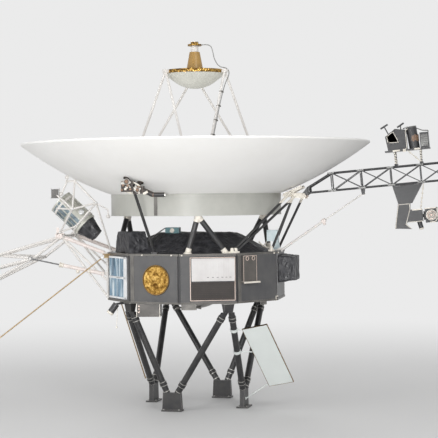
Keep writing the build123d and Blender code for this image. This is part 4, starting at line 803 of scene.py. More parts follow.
def two_tone(name, first, second, axis, split, softness=0.004):
    """A finish that changes from one paint to another across a plane of the CAD frame."""
    finish = first.copy()
    finish.name = name
    tree = finish.node_tree
    shader = tree.nodes["Principled BSDF"]
    ours = next(n for n in tree.nodes if n.type == "GROUP")
    theirs = next(n for n in second.node_tree.nodes if n.type == "GROUP")
    values = {socket.name: socket.default_value for socket in theirs.inputs}
    other = add_node(tree, "Group", values, node_tree=worn_paint)
    spot = add_node(tree, "TexCoord")
    apart = add_node(tree, "SeparateXYZ")
    step = add_node(tree, "MapRange", {"From Min": split - softness, "From Max": split + softness})
    wire(tree, (spot, "Object", apart, 0), (apart, axis, step, "Value"))
    for label, kind, target in (("Colour", "RGBA", "Base Color"), ("Roughness", "FLOAT", "Roughness")):
        mixed = add_node(tree, "Mix", data_type=kind)
        wire(
            tree,
            (step, "Result", mixed, "Factor"),
            (ours, label, mixed, "A"),
            (other, label, mixed, "B"),
            (mixed, "Result", shader, target),
        )
    return finish


teal = painted(
    "teal_paint", (0.10, 0.24, 0.26), (0.06, 0.16, 0.18), (0.55, 0.6, 0.6),
    patch=14, rubbed=0.7, rough=(0.35, 0.55),
)
ice_white = painted(
    "ice_white_paint", (0.70, 0.80, 0.82), (0.55, 0.66, 0.69), (0.4, 0.45, 0.45),
    patch=12, rubbed=0.5, rough=(0.3, 0.5),
)
wear(two_tone("top_unit_paints", teal, ice_white, "X", 0.4), "top_units")
BRACKET_BENDS = ((0.655, 0.05, 1.715), (0.700, 0.062, 1.664), (0.780, 0.075, 1.640), (0.868, 0.085, 1.626))
work = bmesh.new()
for start, end in zip(BRACKET_BENDS, BRACKET_BENDS[1:]):
    bar(work, start, end, 0.008, 10)
bar(work, BRACKET_BENDS[1], (0.745, 0.060, 1.722), 0.006, 8)
for spot in BRACKET_BENDS[1:3]:
    ball(work, spot, 0.009, rows=8)
cap = facing_front((-0.205, -0.28, 1.843))
lathe(work, cap, [(0.024, 0), (0.024, 0.004), (0.018, 0.006), (0, 0.006)], 24)
piece("cube_bracket", work, cream, "probe", smooth=True)

# Stand.
# Black tubes with turned collars run from four fittings under the bus to four welded foot brackets.
# Bright locking rings edge the collars, and each foot is bolted down.
STAND_TURN = -4.4  # degrees that the brackets are set round the stand
FOOT_CIRCLE, HEAD_CIRCLE = 0.545, 0.872
HEADS = (54, 126, 234, 306)  # azimuths in degrees
tube_black = painted(
    "black_tube_paint", (0.022, 0.022, 0.024), (0.042, 0.041, 0.04), (0.25, 0.24, 0.23),
    patch=9, rubbed=0.6, rough=(0.28, 0.5),
)
foot_black = painted(
    "black_bracket_paint", (0.026, 0.026, 0.028), (0.05, 0.048, 0.046), (0.42, 0.41, 0.39),
    patch=9, rubbed=0.9, rough=(0.3, 0.55),
)
wear(tube_black, "adapter_struts", "dish_bipods")
wear(foot_black, "adapter_fittings", "adapter_feet")
ring_metal = painted(
    "bright_ring_metal", (0.60, 0.59, 0.56), (0.42, 0.41, 0.38), (0.85, 0.84, 0.8),
    patch=40, rubbed=0.5, rough=(0.22, 0.42), metal=0.9,
)
work = bmesh.new()
for foot in range(4):
    azimuth, turned = 90 * foot - 18, STAND_TURN + 90 * (foot + 1)
    for side, head in ((-1, HEADS[foot - 1]), (1, HEADS[foot])):
        low = polar(FOOT_CIRCLE, azimuth, 0.1903) + polar(side * 0.058, turned)
        high = polar(HEAD_CIRCLE, head + STAND_TURN, 1.0297) + polar(-side * 0.036, head + STAND_TURN + 90)
        run = (high - low).normalized()
        for spot in (low + run * 0.080, low + run * 0.120, high - run * 0.060, high - run * 0.100):
            collar(work, axes_of(spot, (0, 0, 1), run), 0.032, 0.0392, -0.003, 0.003, 28)
        collar(work, axes_of(low + run * 0.012, (0, 0, 1), run), 0.0318, 0.0345, 0, 0.008, 28)
    base = upright(polar(FOOT_CIRCLE, azimuth, 0.016), polar(1, turned))
    for x in (-0.08, 0.08):
        for y in (-0.044, 0.044):
            collar(work, shifted(base, x, y, 0), 0, 0.009, 0, 0.008, 6)
for azimuth in HEADS:
    cap = upright(polar(HEAD_CIRCLE, azimuth + STAND_TURN, 1.1165), polar(1, azimuth + STAND_TURN + 90))
    block(work, cap, (0, 0, 0), (0.128, 0.088, 0.005), 0.001)
piece("stand_rings", work, ring_metal, "probe", smooth=True)

# Target plate.
# A flat sheet with a matt calibration paint, in a thin dark-gold edge channel, held by stays from the
# stand's tubes.
plate_white = painted(
    "matt_white_plate", (0.70, 0.735, 0.715), (0.655, 0.69, 0.67), (0.3, 0.3, 0.3),
    patch=3, rubbed=0.4, rough=(0.5, 0.7),
)
wear(plate_white, "target_plate")
corner, short = Vector((0.594, -0.649, 0.858)), Vector((0.261, -0.055, 0.056))
long = Vector((0.190, 0.394, -0.625))
plate = axes_of(corner + short / 2 + long / 2, short, short.cross(long))
half_width, half_length = short.length / 2, long.length / 2
work = bmesh.new()
for x in (-half_width + 0.0015, half_width - 0.0015):
    block(work, plate, (x, 0, 0), (0.004, 2 * half_length, 0.0165))
for y in (-half_length + 0.0015, half_length - 0.0015):
    block(work, plate, (0, y, 0), (2 * half_width, 0.004, 0.0165))
piece("plate_edging", work, bronze, "probe")

# Dish and the ring that it stands on.
# A bonded shell with white thermal paint; the ring is pale grey with four dark lapped seams, and a
# thin lip at its foot and where it meets the shell.
SEAM_AZIMUTHS = (254, 74, 134, 14)
dish_white = painted(
    "dish_white_paint", (0.90, 0.893, 0.875), (0.86, 0.85, 0.825), (0.6, 0.58, 0.55),
    patch=1.6, rubbed=0.3, rough=(0.45, 0.65), grain=0.05,
)
ring_grey = painted(
    "ring_grey_paint", (0.43, 0.43, 0.395), (0.36, 0.36, 0.33), (0.7, 0.7, 0.68),
    patch=3, rubbed=0.4, rough=(0.3, 0.5),
)
wear(dish_white, "dish_reflector", "feed_horn")
wear(ring_grey, "dish_skirt")


def wrap(work, radius, thick, start, end, low, high, steps=12):
    """A curved strap on a cylinder round the dish axis, from one azimuth to another."""
    turns = [start + (end - start) * k / steps for k in range(steps + 1)]
    shell = []
    for r in (radius, radius + thick):
        for z in (low, high):
            shell.append([work.verts.new(polar(r, turn, z)) for turn in turns])
    order = (shell[0], shell[1], shell[3], shell[2])
    for here, there in zip(order, order[1:] + order[:1]):
        for k in range(steps):
            work.faces.new((here[k], here[k + 1], there[k + 1], there[k]))
    for k in (0, steps):
        work.faces.new([row[k] for row in order])


work = bmesh.new()
for azimuth in SEAM_AZIMUTHS:
    wrap(work, 0.8942, 0.002, azimuth - 1.3, azimuth + 1.3, 2.002, 2.208)
piece("ring_seams", work, rail_metal, "probe")
work = bmesh.new()
wrap(work, 0.8941, 0.004, 0, 359.99, 2.196, 2.204, 120)
wrap(work, 0.8941, 0.003, 0, 359.99, 2.000, 2.006, 120)
piece("ring_lips", work, ring_grey, "probe", smooth=True)

# Bipods between bus and dish.
# Black tubes with white end fittings: a sleeve and a flange at each foot, a capped block at each apex.
work = bmesh.new()
for point in range(3):
    apex = polar(0.853, 42 + 120 * point, 2.0)
    block(work, upright(apex, polar(1, 42 + 120 * point)), (0, 0, -0.004), (0.0605, 0.064, 0.064), 0.006)
    for side in (-1, 1):
        foot = polar(0.850, 48 + 120 * point + side * 13.2, 1.6223)
        lean = (apex - foot).normalized()
        bar(work, foot + lean * 0.006, foot + lean * 0.058, 0.0295, 20, 0.0288)
        bar(work, apex - lean * 0.062, apex - lean * 0.02, 0.0288, 20, 0.0300)
        lathe(work, upright(foot), [(0, 0), (0.042, 0), (0.042, 0.01), (0.03, 0.016), (0, 0.016)], 24)
piece("bipod_fittings", work, cream, "probe", smooth=True)

# Feed: hexapod, mirror, upper horn and its cable.
# White struts stand on bolted pads. The mirror's rim and the horn's cap are wrapped in gold foil, and
# a thin coaxial cable is tied down one strut.
BOWL_LOW, BOWL_CURVE = 2.076, 4.94  # the bowl's lowest point, and four times its focal length
STRUT_CIRCLE, STRUT_ASIDE = 0.886, 0.03
white_tube = painted(
    "white_tube_paint", (0.76, 0.735, 0.705), (0.68, 0.655, 0.625), (0.5, 0.48, 0.45),
    patch=4, rubbed=0.12, rough=(0.35, 0.55), grain=0.02,
)
wear(white_tube, "feed_struts", "outrigger", "rtg_boom", "mast_frame")
wear(white_tube, "brace_lower", "brace_upper", "brace_clevis")
mirror_white = painted(
    "mirror_white", (0.68, 0.68, 0.62), (0.60, 0.60, 0.54), (0.6, 0.5, 0.35),
    patch=5, rubbed=0.2, rough=(0.35, 0.55),
)
wear(mirror_white, "subreflector")
ochre = painted(
    "ochre_paint", (0.42, 0.255, 0.075), (0.33, 0.19, 0.05), (0.7, 0.6, 0.45),
    patch=6, rubbed=0.4, rough=(0.3, 0.5),
)
wear(two_tone("upper_feed_paints", ochre, white_tube, "Z", 3.7163), "upper_feed")
# Painted shade: the gold foil's second colour makes it much darker along the creases.
foil = blanket("gold_foil", (0.50, 0.31, 0.085), (0.10, 0.05, 0.015), 46, 0.24, 0.006, 1.0)
work = bmesh.new()
profile = [(0.30, 0.0345), (0.3275, 0.0352), (0.3305, 0.031), (0.3295, 0.022)]
profile += [(0.3308, 0.012), (0.3298, 0.003), (0.3272, -0.003)]
lathe(work, upright((0, 0, 3.486)), profile, 150, 0.0016, 11)
collar(work, upright((0, 0, 3.7805)), 0.041, 0.0728, -0.001, 0.0165, 48)
profile = [(0.0405, 0), (0.0412, 0.022), (0.036, 0.0298), (0.02, 0.0265), (0, 0.0265)]
lathe(work, upright((0, 0, 3.7965)), profile, 40, 0.0004, 5)
lathe(work, upright((0, 0, 3.5203)), [(0.0895, 0), (0.1, 0), (0.1, 0.006), (0.089, 0.012)], 48)
piece("feed_foil", work, foil, "probe", smooth=True)
COAX_POINTS = (
    (0.073, 0, 3.7883), (0.168, -0.006, 3.7983), (0.196, -0.014, 3.7203), (0.214, -0.026, 3.6303),
    (0.270, -0.050, 3.548), (0.356, -0.066, 3.536), (0.392, -0.092, 3.474),
)
hub = polar(0.3553, 342, 3.503)
dish_foot = polar(STRUT_CIRCLE, 282, BOWL_LOW + STRUT_CIRCLE**2 / BOWL_CURVE) + polar(STRUT_ASIDE, 12)
strut = dish_foot - hub
aside = Vector((0, 0, 1)).cross(strut).normalized() * 0.02
route = [Vector(p) for p in COAX_POINTS] + [hub + strut * share + aside for share in (0.14, 0.55, 0.92)]
line = bpy.data.curves.new("feed_cable", "CURVE")
line.dimensions = "3D"
line.bevel_depth = 0.005
line.bevel_resolution = 3
line.resolution_u = 10
spline = line.splines.new("NURBS")
spline.points.add(len(route) - 1)
for number, spot in enumerate(route):
    spline.points[number].co = (*spot, 1)
spline.order_u = 3
spline.use_endpoint_u = True
cable = add_object("feed_cable", line)
cable_sheath = painted(
    "cable_sheath", (0.34, 0.34, 0.33), (0.24, 0.24, 0.235), (0.6, 0.6, 0.58),
    patch=60, rubbed=0.2, rough=(0.3, 0.5), metal=0.5,
)
line.materials.append(cable_sheath)
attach(cable, "probe")
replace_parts(cable, "feed_coax")
work = bmesh.new()
for share in (0.18, 0.3, 0.42, 0.54, 0.66, 0.78, 0.9):
    middle = hub + strut * share + aside / 2
    block(work, axes_of(middle, aside, strut), (0, 0, 0), (0.044, 0.028, 0.008), 0.002)
for point in range(3):
    for side in (-1, 1):
        azimuth = 102 + 120 * point + side * 60
        foot = polar(STRUT_CIRCLE, azimuth) + polar(side * -STRUT_ASIDE, azimuth + 90)
        foot.z = BOWL_LOW + foot.xy.length_squared / BOWL_CURVE
        slope = BOWL_CURVE / 2
        pad = axes_of(foot, (0, 0, 1), (-foot.x / slope, -foot.y / slope, 1))
        for k in range(4):
            collar(work, shifted(spun(pad, k + 0.5, 4), 0.019, 0, 0.0125), 0, 0.004, 0, 0.004, 6)
piece("cable_ties", work, rail_metal, "probe")

# Sensor pack under the dish's near side.
# A dark, busy mechanism: brown blocks, small white and metal fittings, a black barrel, and a black
# strut down to the bus.
sensor_dark = painted(
    "sensor_dark", (0.05, 0.036, 0.028), (0.022, 0.02, 0.019), (0.42, 0.33, 0.25),
    patch=38, rubbed=0.9, rough=(0.3, 0.6),
)
wear(two_tone("sensor_paints", tube_black, sensor_dark, "Z", 2.225, 0.01), "dish_sensor")
PACK_BOXES = (
    # centre, size
    ((-0.452, -1.172, 2.296), (0.120, 0.090, 0.104)),
    ((-0.352, -1.138, 2.262), (0.096, 0.084, 0.076)),
)
dice = random.Random(41)
bits = {"white": bmesh.new(), "brown": bmesh.new(), "metal": bmesh.new()}
for centre, size in PACK_BOXES:
    near = facing_front(Vector(centre) + Vector((0, -size[1] / 2, 0)))
    for kind, count in (("white", 4), ("brown", 5), ("metal", 5)):
        for _ in range(count):
            x, y = dice.uniform(-0.42, 0.42) * size[0], dice.uniform(-0.42, 0.42) * size[2]
            w, h, d = dice.uniform(0.012, 0.03), dice.uniform(0.008, 0.026), dice.uniform(0.006, 0.022)
            if dice.random() < 0.5:
                block(bits[kind], near, (x, y, d / 2), (w, h, d), 0.0015)
            else:
                spot = near @ Vector((x, y, 0))
                bar(bits[kind], spot, spot + Vector((0, -d * 1.3, 0)), h / 2, 12)
for start, end, radius in (
    ((-0.500, -1.190, 2.262), (-0.402, -1.200, 2.228), 0.010),
    ((-0.405, -1.190, 2.345), (-0.330, -1.180, 2.300), 0.008),
    ((-0.300, -1.165, 2.225), (-0.255, -1.165, 2.245), 0.014),
):
    bar(bits["white"], start, end, radius, 12)
barrel_root = Vector((-0.222, -1.142, 2.216))
barrel = Vector((-0.09, -1.117, 2.214)) - barrel_root
for share, kind in ((0.12, "brown"), (0.98, "metal")):
    spot = barrel_root + barrel * share
    collar(bits[kind], axes_of(spot, (0, 0, 1), barrel), 0.021, 0.0245, -0.006, 0.002, 24)
for mouth, radius in (((-0.452, -1.2325, 2.345), 0.030), ((-0.352, -1.2005, 2.262), 0.026)):
    hoop(bits["metal"], facing_front(mouth), radius - 0.003, 0.003, 28)
    collar(bits["brown"], facing_front(mouth), 0, radius * 0.6, 0.0005, 0.003, 24)
sensor_brown = painted(
    "sensor_brown", (0.27, 0.16, 0.10), (0.14, 0.085, 0.055), (0.6, 0.45, 0.35),
    patch=40, rubbed=0.7, rough=(0.35, 0.6),
)
for kind, finish in (("white", cream), ("brown", sensor_brown), ("metal", ring_metal)):
    piece(f"sensor_bits_{kind}", bits[kind], finish, "probe")

# Science boom's root bracket and telescopic brace.
# Cream arms on black struts with white feet; between the arms sits the copper unfolding spring. The
# brace is a white sleeve with a locking collar.
BOOM_HINGE, BRACE_FOOT = Vector((1.150, 0, 2.192)), Vector((0.9035, 0, 1.626))
BOOM_SLOPE = math.radians(4.8)
wear(two_tone("root_paints", tube_black, cream, "Z", 2.118, 0.003), "boom_root")
work = bmesh.new()
for azimuth in (-55.2, -52.6, -18, 30, 18):
    foot = upright(polar(0.878, azimuth, 1.6223), polar(1, azimuth))
    block(work, foot, (0, 0, 0.0095), (0.046, 0.066, 0.0195), 0.003)
    lathe(work, foot, [(0, 0.018), (0.020, 0.018), (0.018, 0.040), (0.0135, 0.052), (0, 0.052)], 20)
for y, out in ((-0.130, -1), (0.130, 1)):
    hinge_eye = axes_of(BOOM_HINGE + Vector((0, y, 0)), (1, 0, 0), (0, out, 0))
    lathe(work, hinge_eye, [(0, 0), (0.020, 0), (0.020, 0.004), (0.013, 0.008), (0, 0.008)], 24)
piece("root_feet", work, cream, "probe", smooth=True)
work = bmesh.new()
hinge = axes_of(BOOM_HINGE, (1, 0, 0), (0, 1, 0))
for coil in range(15):
    hoop(work, shifted(hinge, 0, 0, -0.049 + 0.007 * coil), 0.026, 0.0033, 28)
collar(work, hinge, 0, 0.021, -0.055, 0.055, 28)
piece("unfolding_spring", work, copper, "probe", smooth=True)
boom_along = Vector((math.cos(BOOM_SLOPE), 0, math.sin(BOOM_SLOPE)))
boom_up = Vector((-math.sin(BOOM_SLOPE), 0, math.cos(BOOM_SLOPE)))


def boom_at(s, y=0.0, h=0.0):
    """A point on the science boom: s along its slope from the hinge, y sideways, h square to it."""
    return BOOM_HINGE + Vector((0, y, 0)) + boom_along * s + boom_up * h


brace_run = boom_at(0.610, 0, -0.034) - BRACE_FOOT
mouth = BRACE_FOOT + brace_run * 0.53
brace_axes = axes_of(mouth, (0, 1, 0), brace_run)
latch = mouth - brace_run.normalized() * 0.016 + Vector((0.016, -0.006, -0.040))
work = bmesh.new()
lathe(work, brace_axes, [(0.0203, -0.036), (0.0235, -0.034), (0.0235, 0.002), (0.0203, 0.006)], 24)
bar(work, brace_axes @ Vector((0, 0, -0.016)), latch, 0.012, 14, 0.015)
for share in (0.12, 0.3, 0.42):
    ring = axes_of(BRACE_FOOT + brace_run * share, (0, 1, 0), brace_run)
    collar(work, ring, 0.0118, 0.0135, -0.008, 0.008, 20)
pink_white = painted(
    "warm_white_paint", (0.82, 0.74, 0.70), (0.72, 0.64, 0.60), (0.5, 0.48, 0.45),
    patch=6, rubbed=0.15, rough=(0.35, 0.55), grain=0.03,
)
piece("brace_collar", work, pink_white, "brace_lower", smooth=True)

# Science boom.
# Black composite tubes and laces, with grey gusset plates where the frames meet the long tubes.
FRAME_PITCH = 0.305
truss_black = painted(
    "black_composite", (0.024, 0.024, 0.027), (0.042, 0.042, 0.044), (0.22, 0.22, 0.22),
    patch=14, rubbed=0.5, rough=(0.3, 0.5),
)
wear(truss_black, "science_boom")


def boom_side(s, y, h, out=-1):
    """Local axes on the boom: x runs out along it, z to the near side, or to the far side for 1."""
    return axes_of(boom_at(s, y, h), boom_along, (0, out, 0))


gusset_grey = painted(
    "gusset_grey", (0.17, 0.17, 0.165), (0.11, 0.11, 0.108), (0.5, 0.5, 0.48),
    patch=22, rubbed=0.9, rough=(0.3, 0.5), metal=0.6,
)
work = bmesh.new()
for number in range(1, 8):
    s = FRAME_PITCH * number - 0.0045
    plate_s = s if number < 7 else s - 0.035
    for y in (-0.1005, 0.1005):
        for h, width in ((0.024, 0.078), (0.204, 0.070)):
            block(work, boom_side(plate_s, y, h), (0, 0, 0), (width, 0.017, 0.003), 0.001)
        for h in (0.05, 0.178):
            bar(work, boom_at(s, y, h), boom_at(s, y + (0.004 if y > 0 else -0.004), h), 0.006, 8)
piece("boom_gussets", work, gusset_grey, "science_boom")

# Ray counters on top of the boom.
# Black instrument boxes on a legged tray: a slanted box with a square mouth, a tall can with a brown
# window, wire handles above, white edge trim, and white standoffs on the legs.
housing = painted(
    "instrument_black", (0.03, 0.03, 0.033), (0.05, 0.05, 0.052), (0.42, 0.42, 0.41),
    patch=10, rubbed=0.8, rough=(0.28, 0.5),
)
wear(housing, "ray_counter", "particle_unit", "particle_head", "plasma_unit", "narrow_camera", "wide_camera")
wear(housing, "infrared_unit", "ultraviolet_unit", "polarimeter")
counter = boom_side(0, -0.080, 0)
work = bmesh.new()
slanted_edge = [(0.906, 0.521), (0.975, 0.563), (1.022, 0.452), (0.916, 0.455)]
strips(work, counter, slanted_edge, 0.0055, 0.003, closed=True)
strips(work, counter, [(1.101, 0.560), (1.101, 0.385), (1.085, 0.377)], 0.0055, 0.003)
bar(work, boom_at(1.101, -0.078, 0.566), boom_at(1.160, -0.050, 0.598), 0.0045, 8)
for s, width in ((0.992, 0.075), (1.205, 0.062)):
    block(work, boom_side(s, -0.1, 0.366), (0, 0, 0.003), (width, 0.017, 0.006), 0.002)
block(work, boom_side(1.075, -0.1, 0.362), (0, 0, 0.003), (0.03, 0.03, 0.006), 0.002)
dice = random.Random(9)
for s in (0.975, 1.235):
    for y in (-0.090, 0.090):
        for h in (0.243, 0.268, 0.292, 0.318, 0.343):
            ball(work, boom_at(s + dice.uniform(-0.004, 0.004), y - 0.004, h), 0.0105)
bar(work, boom_at(1.105, -0.095, 0.36), boom_at(1.228, -0.092, 0.235), 0.005, 8)
for s, h in ((1.13, 0.335), (1.185, 0.279)):
    ball(work, boom_at(s, -0.095, h), 0.0105)
piece("counter_trim", work, cream, "science_boom")
work = bmesh.new()
mouth = ((0.911, 0.519), (0.973, 0.556), (1.015, 0.457), (0.920, 0.460))
work.faces.new([work.verts.new(counter @ Vector((x, y, 0.0012))) for x, y in mouth])
bmesh.ops.solidify(work, geom=work.faces[:], thickness=0.002)
can = axes_of(boom_at(1.175, -0.030, 0.40), boom_along, boom_up)
for leaf in range(-3, 5):
    pane = tilted(can @ Matrix.Rotation(math.radians(-90 + 24 * leaf), 4, "Z"), 90)
    block(work, pane, (-0.075 - 0.01 * (leaf % 2), 0, 0.0535), (0.06, 0.019, 0.003), 0.001)
piece("counter_windows", work, sensor_brown, "science_boom")
HANDLE_BARS = (
    # from s and h, to s and h
    (1.19, 0.592, 1.27, 0.552),
    (1.27, 0.552, 1.33, 0.545),
    (1.075, 0.585, 1.125, 0.602),
    (1.330, 0.545, 1.318, 0.44),
)
work = bmesh.new()
top = axes_of(boom_at(1.160, -0.030, 0.592), boom_along, boom_at(1.160, 0, 0.592) - boom_at(1.180, 0, 0.366))
lathe(work, top, [(0.030, -0.002), (0.054, -0.002), (0.0565, 0.004), (0.050, 0.010), (0.030, 0.010)], 32)
for start_s, start_h, end_s, end_h in HANDLE_BARS:
    bar(work, boom_at(start_s, -0.03, start_h), boom_at(end_s, -0.03, end_h), 0.005, 8)
block(work, boom_side(1.285, -0.0805, 0.448), (0, 0, 0.002), (0.070, 0.12, 0.004), 0.002)
for h in (0.41, 0.43, 0.45, 0.47, 0.49):
    block(work, boom_side(1.285, -0.0845, h), (0, 0, 0.002), (0.062, 0.005, 0.003))
piece("counter_handles", work, gusset_grey, "science_boom", smooth=True)

# Particle unit under the boom, and its stepping head.
# A slanted black box outlined in white trim hangs from the boom on a folded plate; the head beside it
# carries round apertures with copper and white rings.
HEAD_S, HEAD_H = 1.286, -0.320
unit, bracket = boom_side(0, -0.0705, 0), boom_side(0, -0.0652, 0)
work = bmesh.new()
strips(work, unit, [(0.910, -0.424), (0.960, -0.186), (1.076, -0.186)], 0.0055, 0.003)
strips(work, unit, [(1.076, -0.186), (1.071, -0.250), (1.021, -0.394), (1.070, -0.440)], 0.0055, 0.003)
strips(work, bracket, [(1.10, -0.252), (1.192, -0.252)], 0.013, 0.004)
strips(work, bracket, [(1.045, -0.373), (1.192, -0.373)], 0.006, 0.003)
stay_top, stay_foot = boom_at(1.236, -0.088, 0.012), boom_at(1.183, -0.060, -0.247)
bar(work, stay_top, stay_foot, 0.0045, 8)
for share in (0.22, 0.40, 0.58, 0.74, 0.88):
    ball(work, stay_top.lerp(stay_foot, share), 0.011)
leaning = boom_at(1.172, 0, -0.446) - boom_at(1.150, 0, -0.350)
profile = [(0, 0), (0.0245, -0.002), (0.0245, 0.006), (0.017, 0.014), (0, 0.016)]
lathe(work, axes_of(boom_at(1.172, -0.020, -0.446), (0, 1, 0), leaning), profile, 20)
piece("particle_trim", work, cream, "science_boom")
head_edge = [(-0.060, 0.071), (0.060, 0.071), (0.060, -0.030), (0.036, -0.071), (-0.018, -0.071)]
aperture = boom_side(HEAD_S, -0.0965, HEAD_H)
work = bmesh.new()
strips(work, boom_side(HEAD_S, -0.0655, HEAD_H), head_edge, 0.010, 0.004)
collar(work, aperture, 0.047, 0.0545, -0.002, 0.003, 40)
collar(work, aperture, 0.020, 0.027, -0.001, 0.006, 32)
piece("head_trim", work, cream, "particle_head")
work = bmesh.new()
collar(work, aperture, 0.034, 0.041, -0.001, 0.004, 40)
lathe(work, aperture, [(0, -0.001), (0.013, -0.001), (0.013, 0.002), (0, 0.004)], 24)
for radius in (0.012, 0.026):
    collar(work, boom_side(HEAD_S, 0.0925, HEAD_H, out=1), radius, radius + 0.007, -0.001, 0.003, 32)
piece("head_rings", work, copper, "particle_head")

# Plasma cups near the boom's end.
# Turned cups with white lips, each closed by a fine gold grid on a dark floor.
PLASMA_S = 1.750
cups = []
for azimuth in (30, 150, 270):
    lean = polar(1, azimuth)
    mouth = boom_at(PLASMA_S + 0.084 * lean.x, 0.084 * lean.y, 0.4003)
    cups.append((mouth, mouth - boom_at(PLASMA_S + 0.036 * lean.x, 0.036 * lean.y, 0.3043), 0.068))
cups.append((boom_at(PLASMA_S, -0.150, 0.2763), Vector((0, -1, 0)), 0.056))
lips, grids = bmesh.new(), bmesh.new()
for mouth, heading, radius in cups:
    cup = axes_of(mouth, (0.3, 0.9, 0.1), heading)
    inner, outer = radius - 0.008, radius + 0.001
    profile = [(inner, -0.004), (inner, 0.001), (outer, 0.001), (outer, -0.006), (radius, -0.010)]
    lathe(lips, cup, profile, 40)
    lathe(grids, cup, [(inner, -0.010), (inner, -0.012), (0, -0.012), (0, -0.0119)], 40)
    for k in range(-4, 5):
        aside = k * radius / 5
        reach = math.sqrt((radius - 0.009) ** 2 - aside**2)
        block(grids, cup, (aside, 0, -0.009), (0.0012, 2 * reach, 0.0012))
        block(grids, cup, (0, aside, -0.009), (2 * reach, 0.0012, 0.0012))
piece("plasma_cup_lips", lips, enamel, "science_boom", smooth=True)
piece("plasma_grids", grids, copper, "science_boom")

# Scan platform: drive, yoke, frame and telescopes.
# Machined drive and yoke; black telescopes with ribbed barrels and coated glass, one of them with a
# gold-lined cone, and white radiator plates on their far side.
DRIVE_S, TILT_S, TILT_H = 2.139, 2.480, 0.114
wear(brushed, "azimuth_drive", "platform_yoke", "platform_frame")
work = bmesh.new()
drive = axes_of(boom_at(DRIVE_S, 0, TILT_H), (0, 1, 0), boom_along)
for k in range(12):
    collar(work, shifted(spun(drive, k, 12), 0.094, 0, 0.0562), 0, 0.0035, 0, 0.003, 6)
profile = [(0.0898, -0.003), (0.0935, -0.0015), (0.0935, 0.0015), (0.0898, 0.003)]
for k in range(4):
    lathe(work, shifted(drive, 0, 0, 0.066 + 0.014 * k), profile, 48)
piece("drive_ribs", work, ring_metal, "science_boom", smooth=True)
TELESCOPES = (
    # radius, mouth y, past the tilt axis, over it, ribs, depth of its glass, lip past the radius
    (0.100, -0.480, 0.250, 0.180, 9, 0.1205, 0.008),
    (0.085, -0.320, 0.240, -0.040, 6, 0.0905, -0.004),
)
glass = painted(
    "coated_glass", (0.02, 0.015, 0.035), (0.03, 0.05, 0.06), (0.1, 0.1, 0.12),
    patch=9, rubbed=0.0, rough=(0.03, 0.08), grain=0.0, coat=1.0,
)
gold_lining = painted(
    "gold_lining", (0.75, 0.50, 0.18), (0.6, 0.38, 0.12), (0.8, 0.7, 0.5),
    patch=12, rubbed=0.2, rough=(0.18, 0.3), metal=1.0,
)
ribs, lenses = bmesh.new(), bmesh.new()
for radius, mouth_y, past, over, count, depth, lip in TELESCOPES:
    barrel = boom_side(TILT_S + past, mouth_y, TILT_H + over)
    profile = [(radius - 0.0065, -depth), (radius - 0.0065, -depth + 0.004)]
    lathe(lenses, barrel, profile + [(radius * 0.5, -depth + 0.010), (0, -depth + 0.012)], 40)
    hoop(ribs, shifted(barrel, 0, 0, -0.004), radius + lip, 0.004, 40)
    root, tip = radius - 0.001, radius + 0.004
    rib = [(root, -0.003), (tip, -0.002), (tip, 0.002), (root, 0.003)]
    for k in range(count):
        y = mouth_y + 0.10 + 0.028 * k
        if y < -0.16:
            lathe(ribs, boom_side(TILT_S + past, y, TILT_H + over), rib, 40)
mirror = boom_side(2.825, -0.100, -0.216)
lining = bmesh.new()
profile = [(0.1375, 0.002), (0.1395, 0.004), (0.2025, 0.149), (0.2038, 0.1505), (0.207, 0.151)]
lathe(lining, mirror, profile, 56)
piece("telescope_cone_lining", lining, gold_lining, "scan_platform", smooth=True)
lathe(lenses, mirror, [(0.137, 0.001), (0.10, 0.006), (0.03, 0.003), (0, 0.003)], 48)
bar(ribs, mirror @ Vector((0, 0, 0.09)), mirror @ Vector((0, 0, 0.135)), 0.030, 24, 0.022)
for k in range(3):
    leg = spun(mirror, k, 3)
    bar(ribs, leg @ Vector((0.025, 0, 0.12)), leg @ Vector((0.188, 0, 0.118)), 0.004, 8)
piece("telescope_ribs", ribs, gusset_grey, "scan_platform", smooth=True)
piece("telescope_glass", lenses, glass, "scan_platform", smooth=True)
work = bmesh.new()
for s, y, h, w, t in ((2.730, 0.44, 0.294, 0.13, 0.15), (2.720, 0.245, 0.074, 0.11, 0.12)):
    block(work, boom_side(s, y, h, out=1), (0, 0, 0), (w, t, 0.006), 0.002)
for k in range(9):
    block(work, boom_side(2.825, 0.1225, -0.300 + 0.021 * k, out=1), (0, 0, 0), (0.20, 0.003, 0.012))
for y in (-0.2, 0, 0.2):
    lid = axes_of(boom_at(2.5985, y, 0.5135), (0, 1, 0), boom_up)
    block(work, lid, (0, 0, 0), (0.12, 0.02, 0.003), 0.001)
piece("platform_radiators", work, white_frame, "scan_platform")
polar_mouth, slit = boom_side(2.652, -0.3302, 0.462), boom_side(2.653, 0.1045, -0.061)
work = bmesh.new()
hoop(work, polar_mouth, 0.036, 0.004, 32)
lathe(work, polar_mouth, [(0.033, 0), (0.033, 0.001), (0, 0.001)], 32)
block(work, slit, (0, 0, 0.001), (0.08, 0.05, 0.004), 0.001)
block(work, slit, (0, 0, 0.006), (0.05, 0.008, 0.008))
piece("small_apertures", work, gusset_grey, "scan_platform", smooth=True)

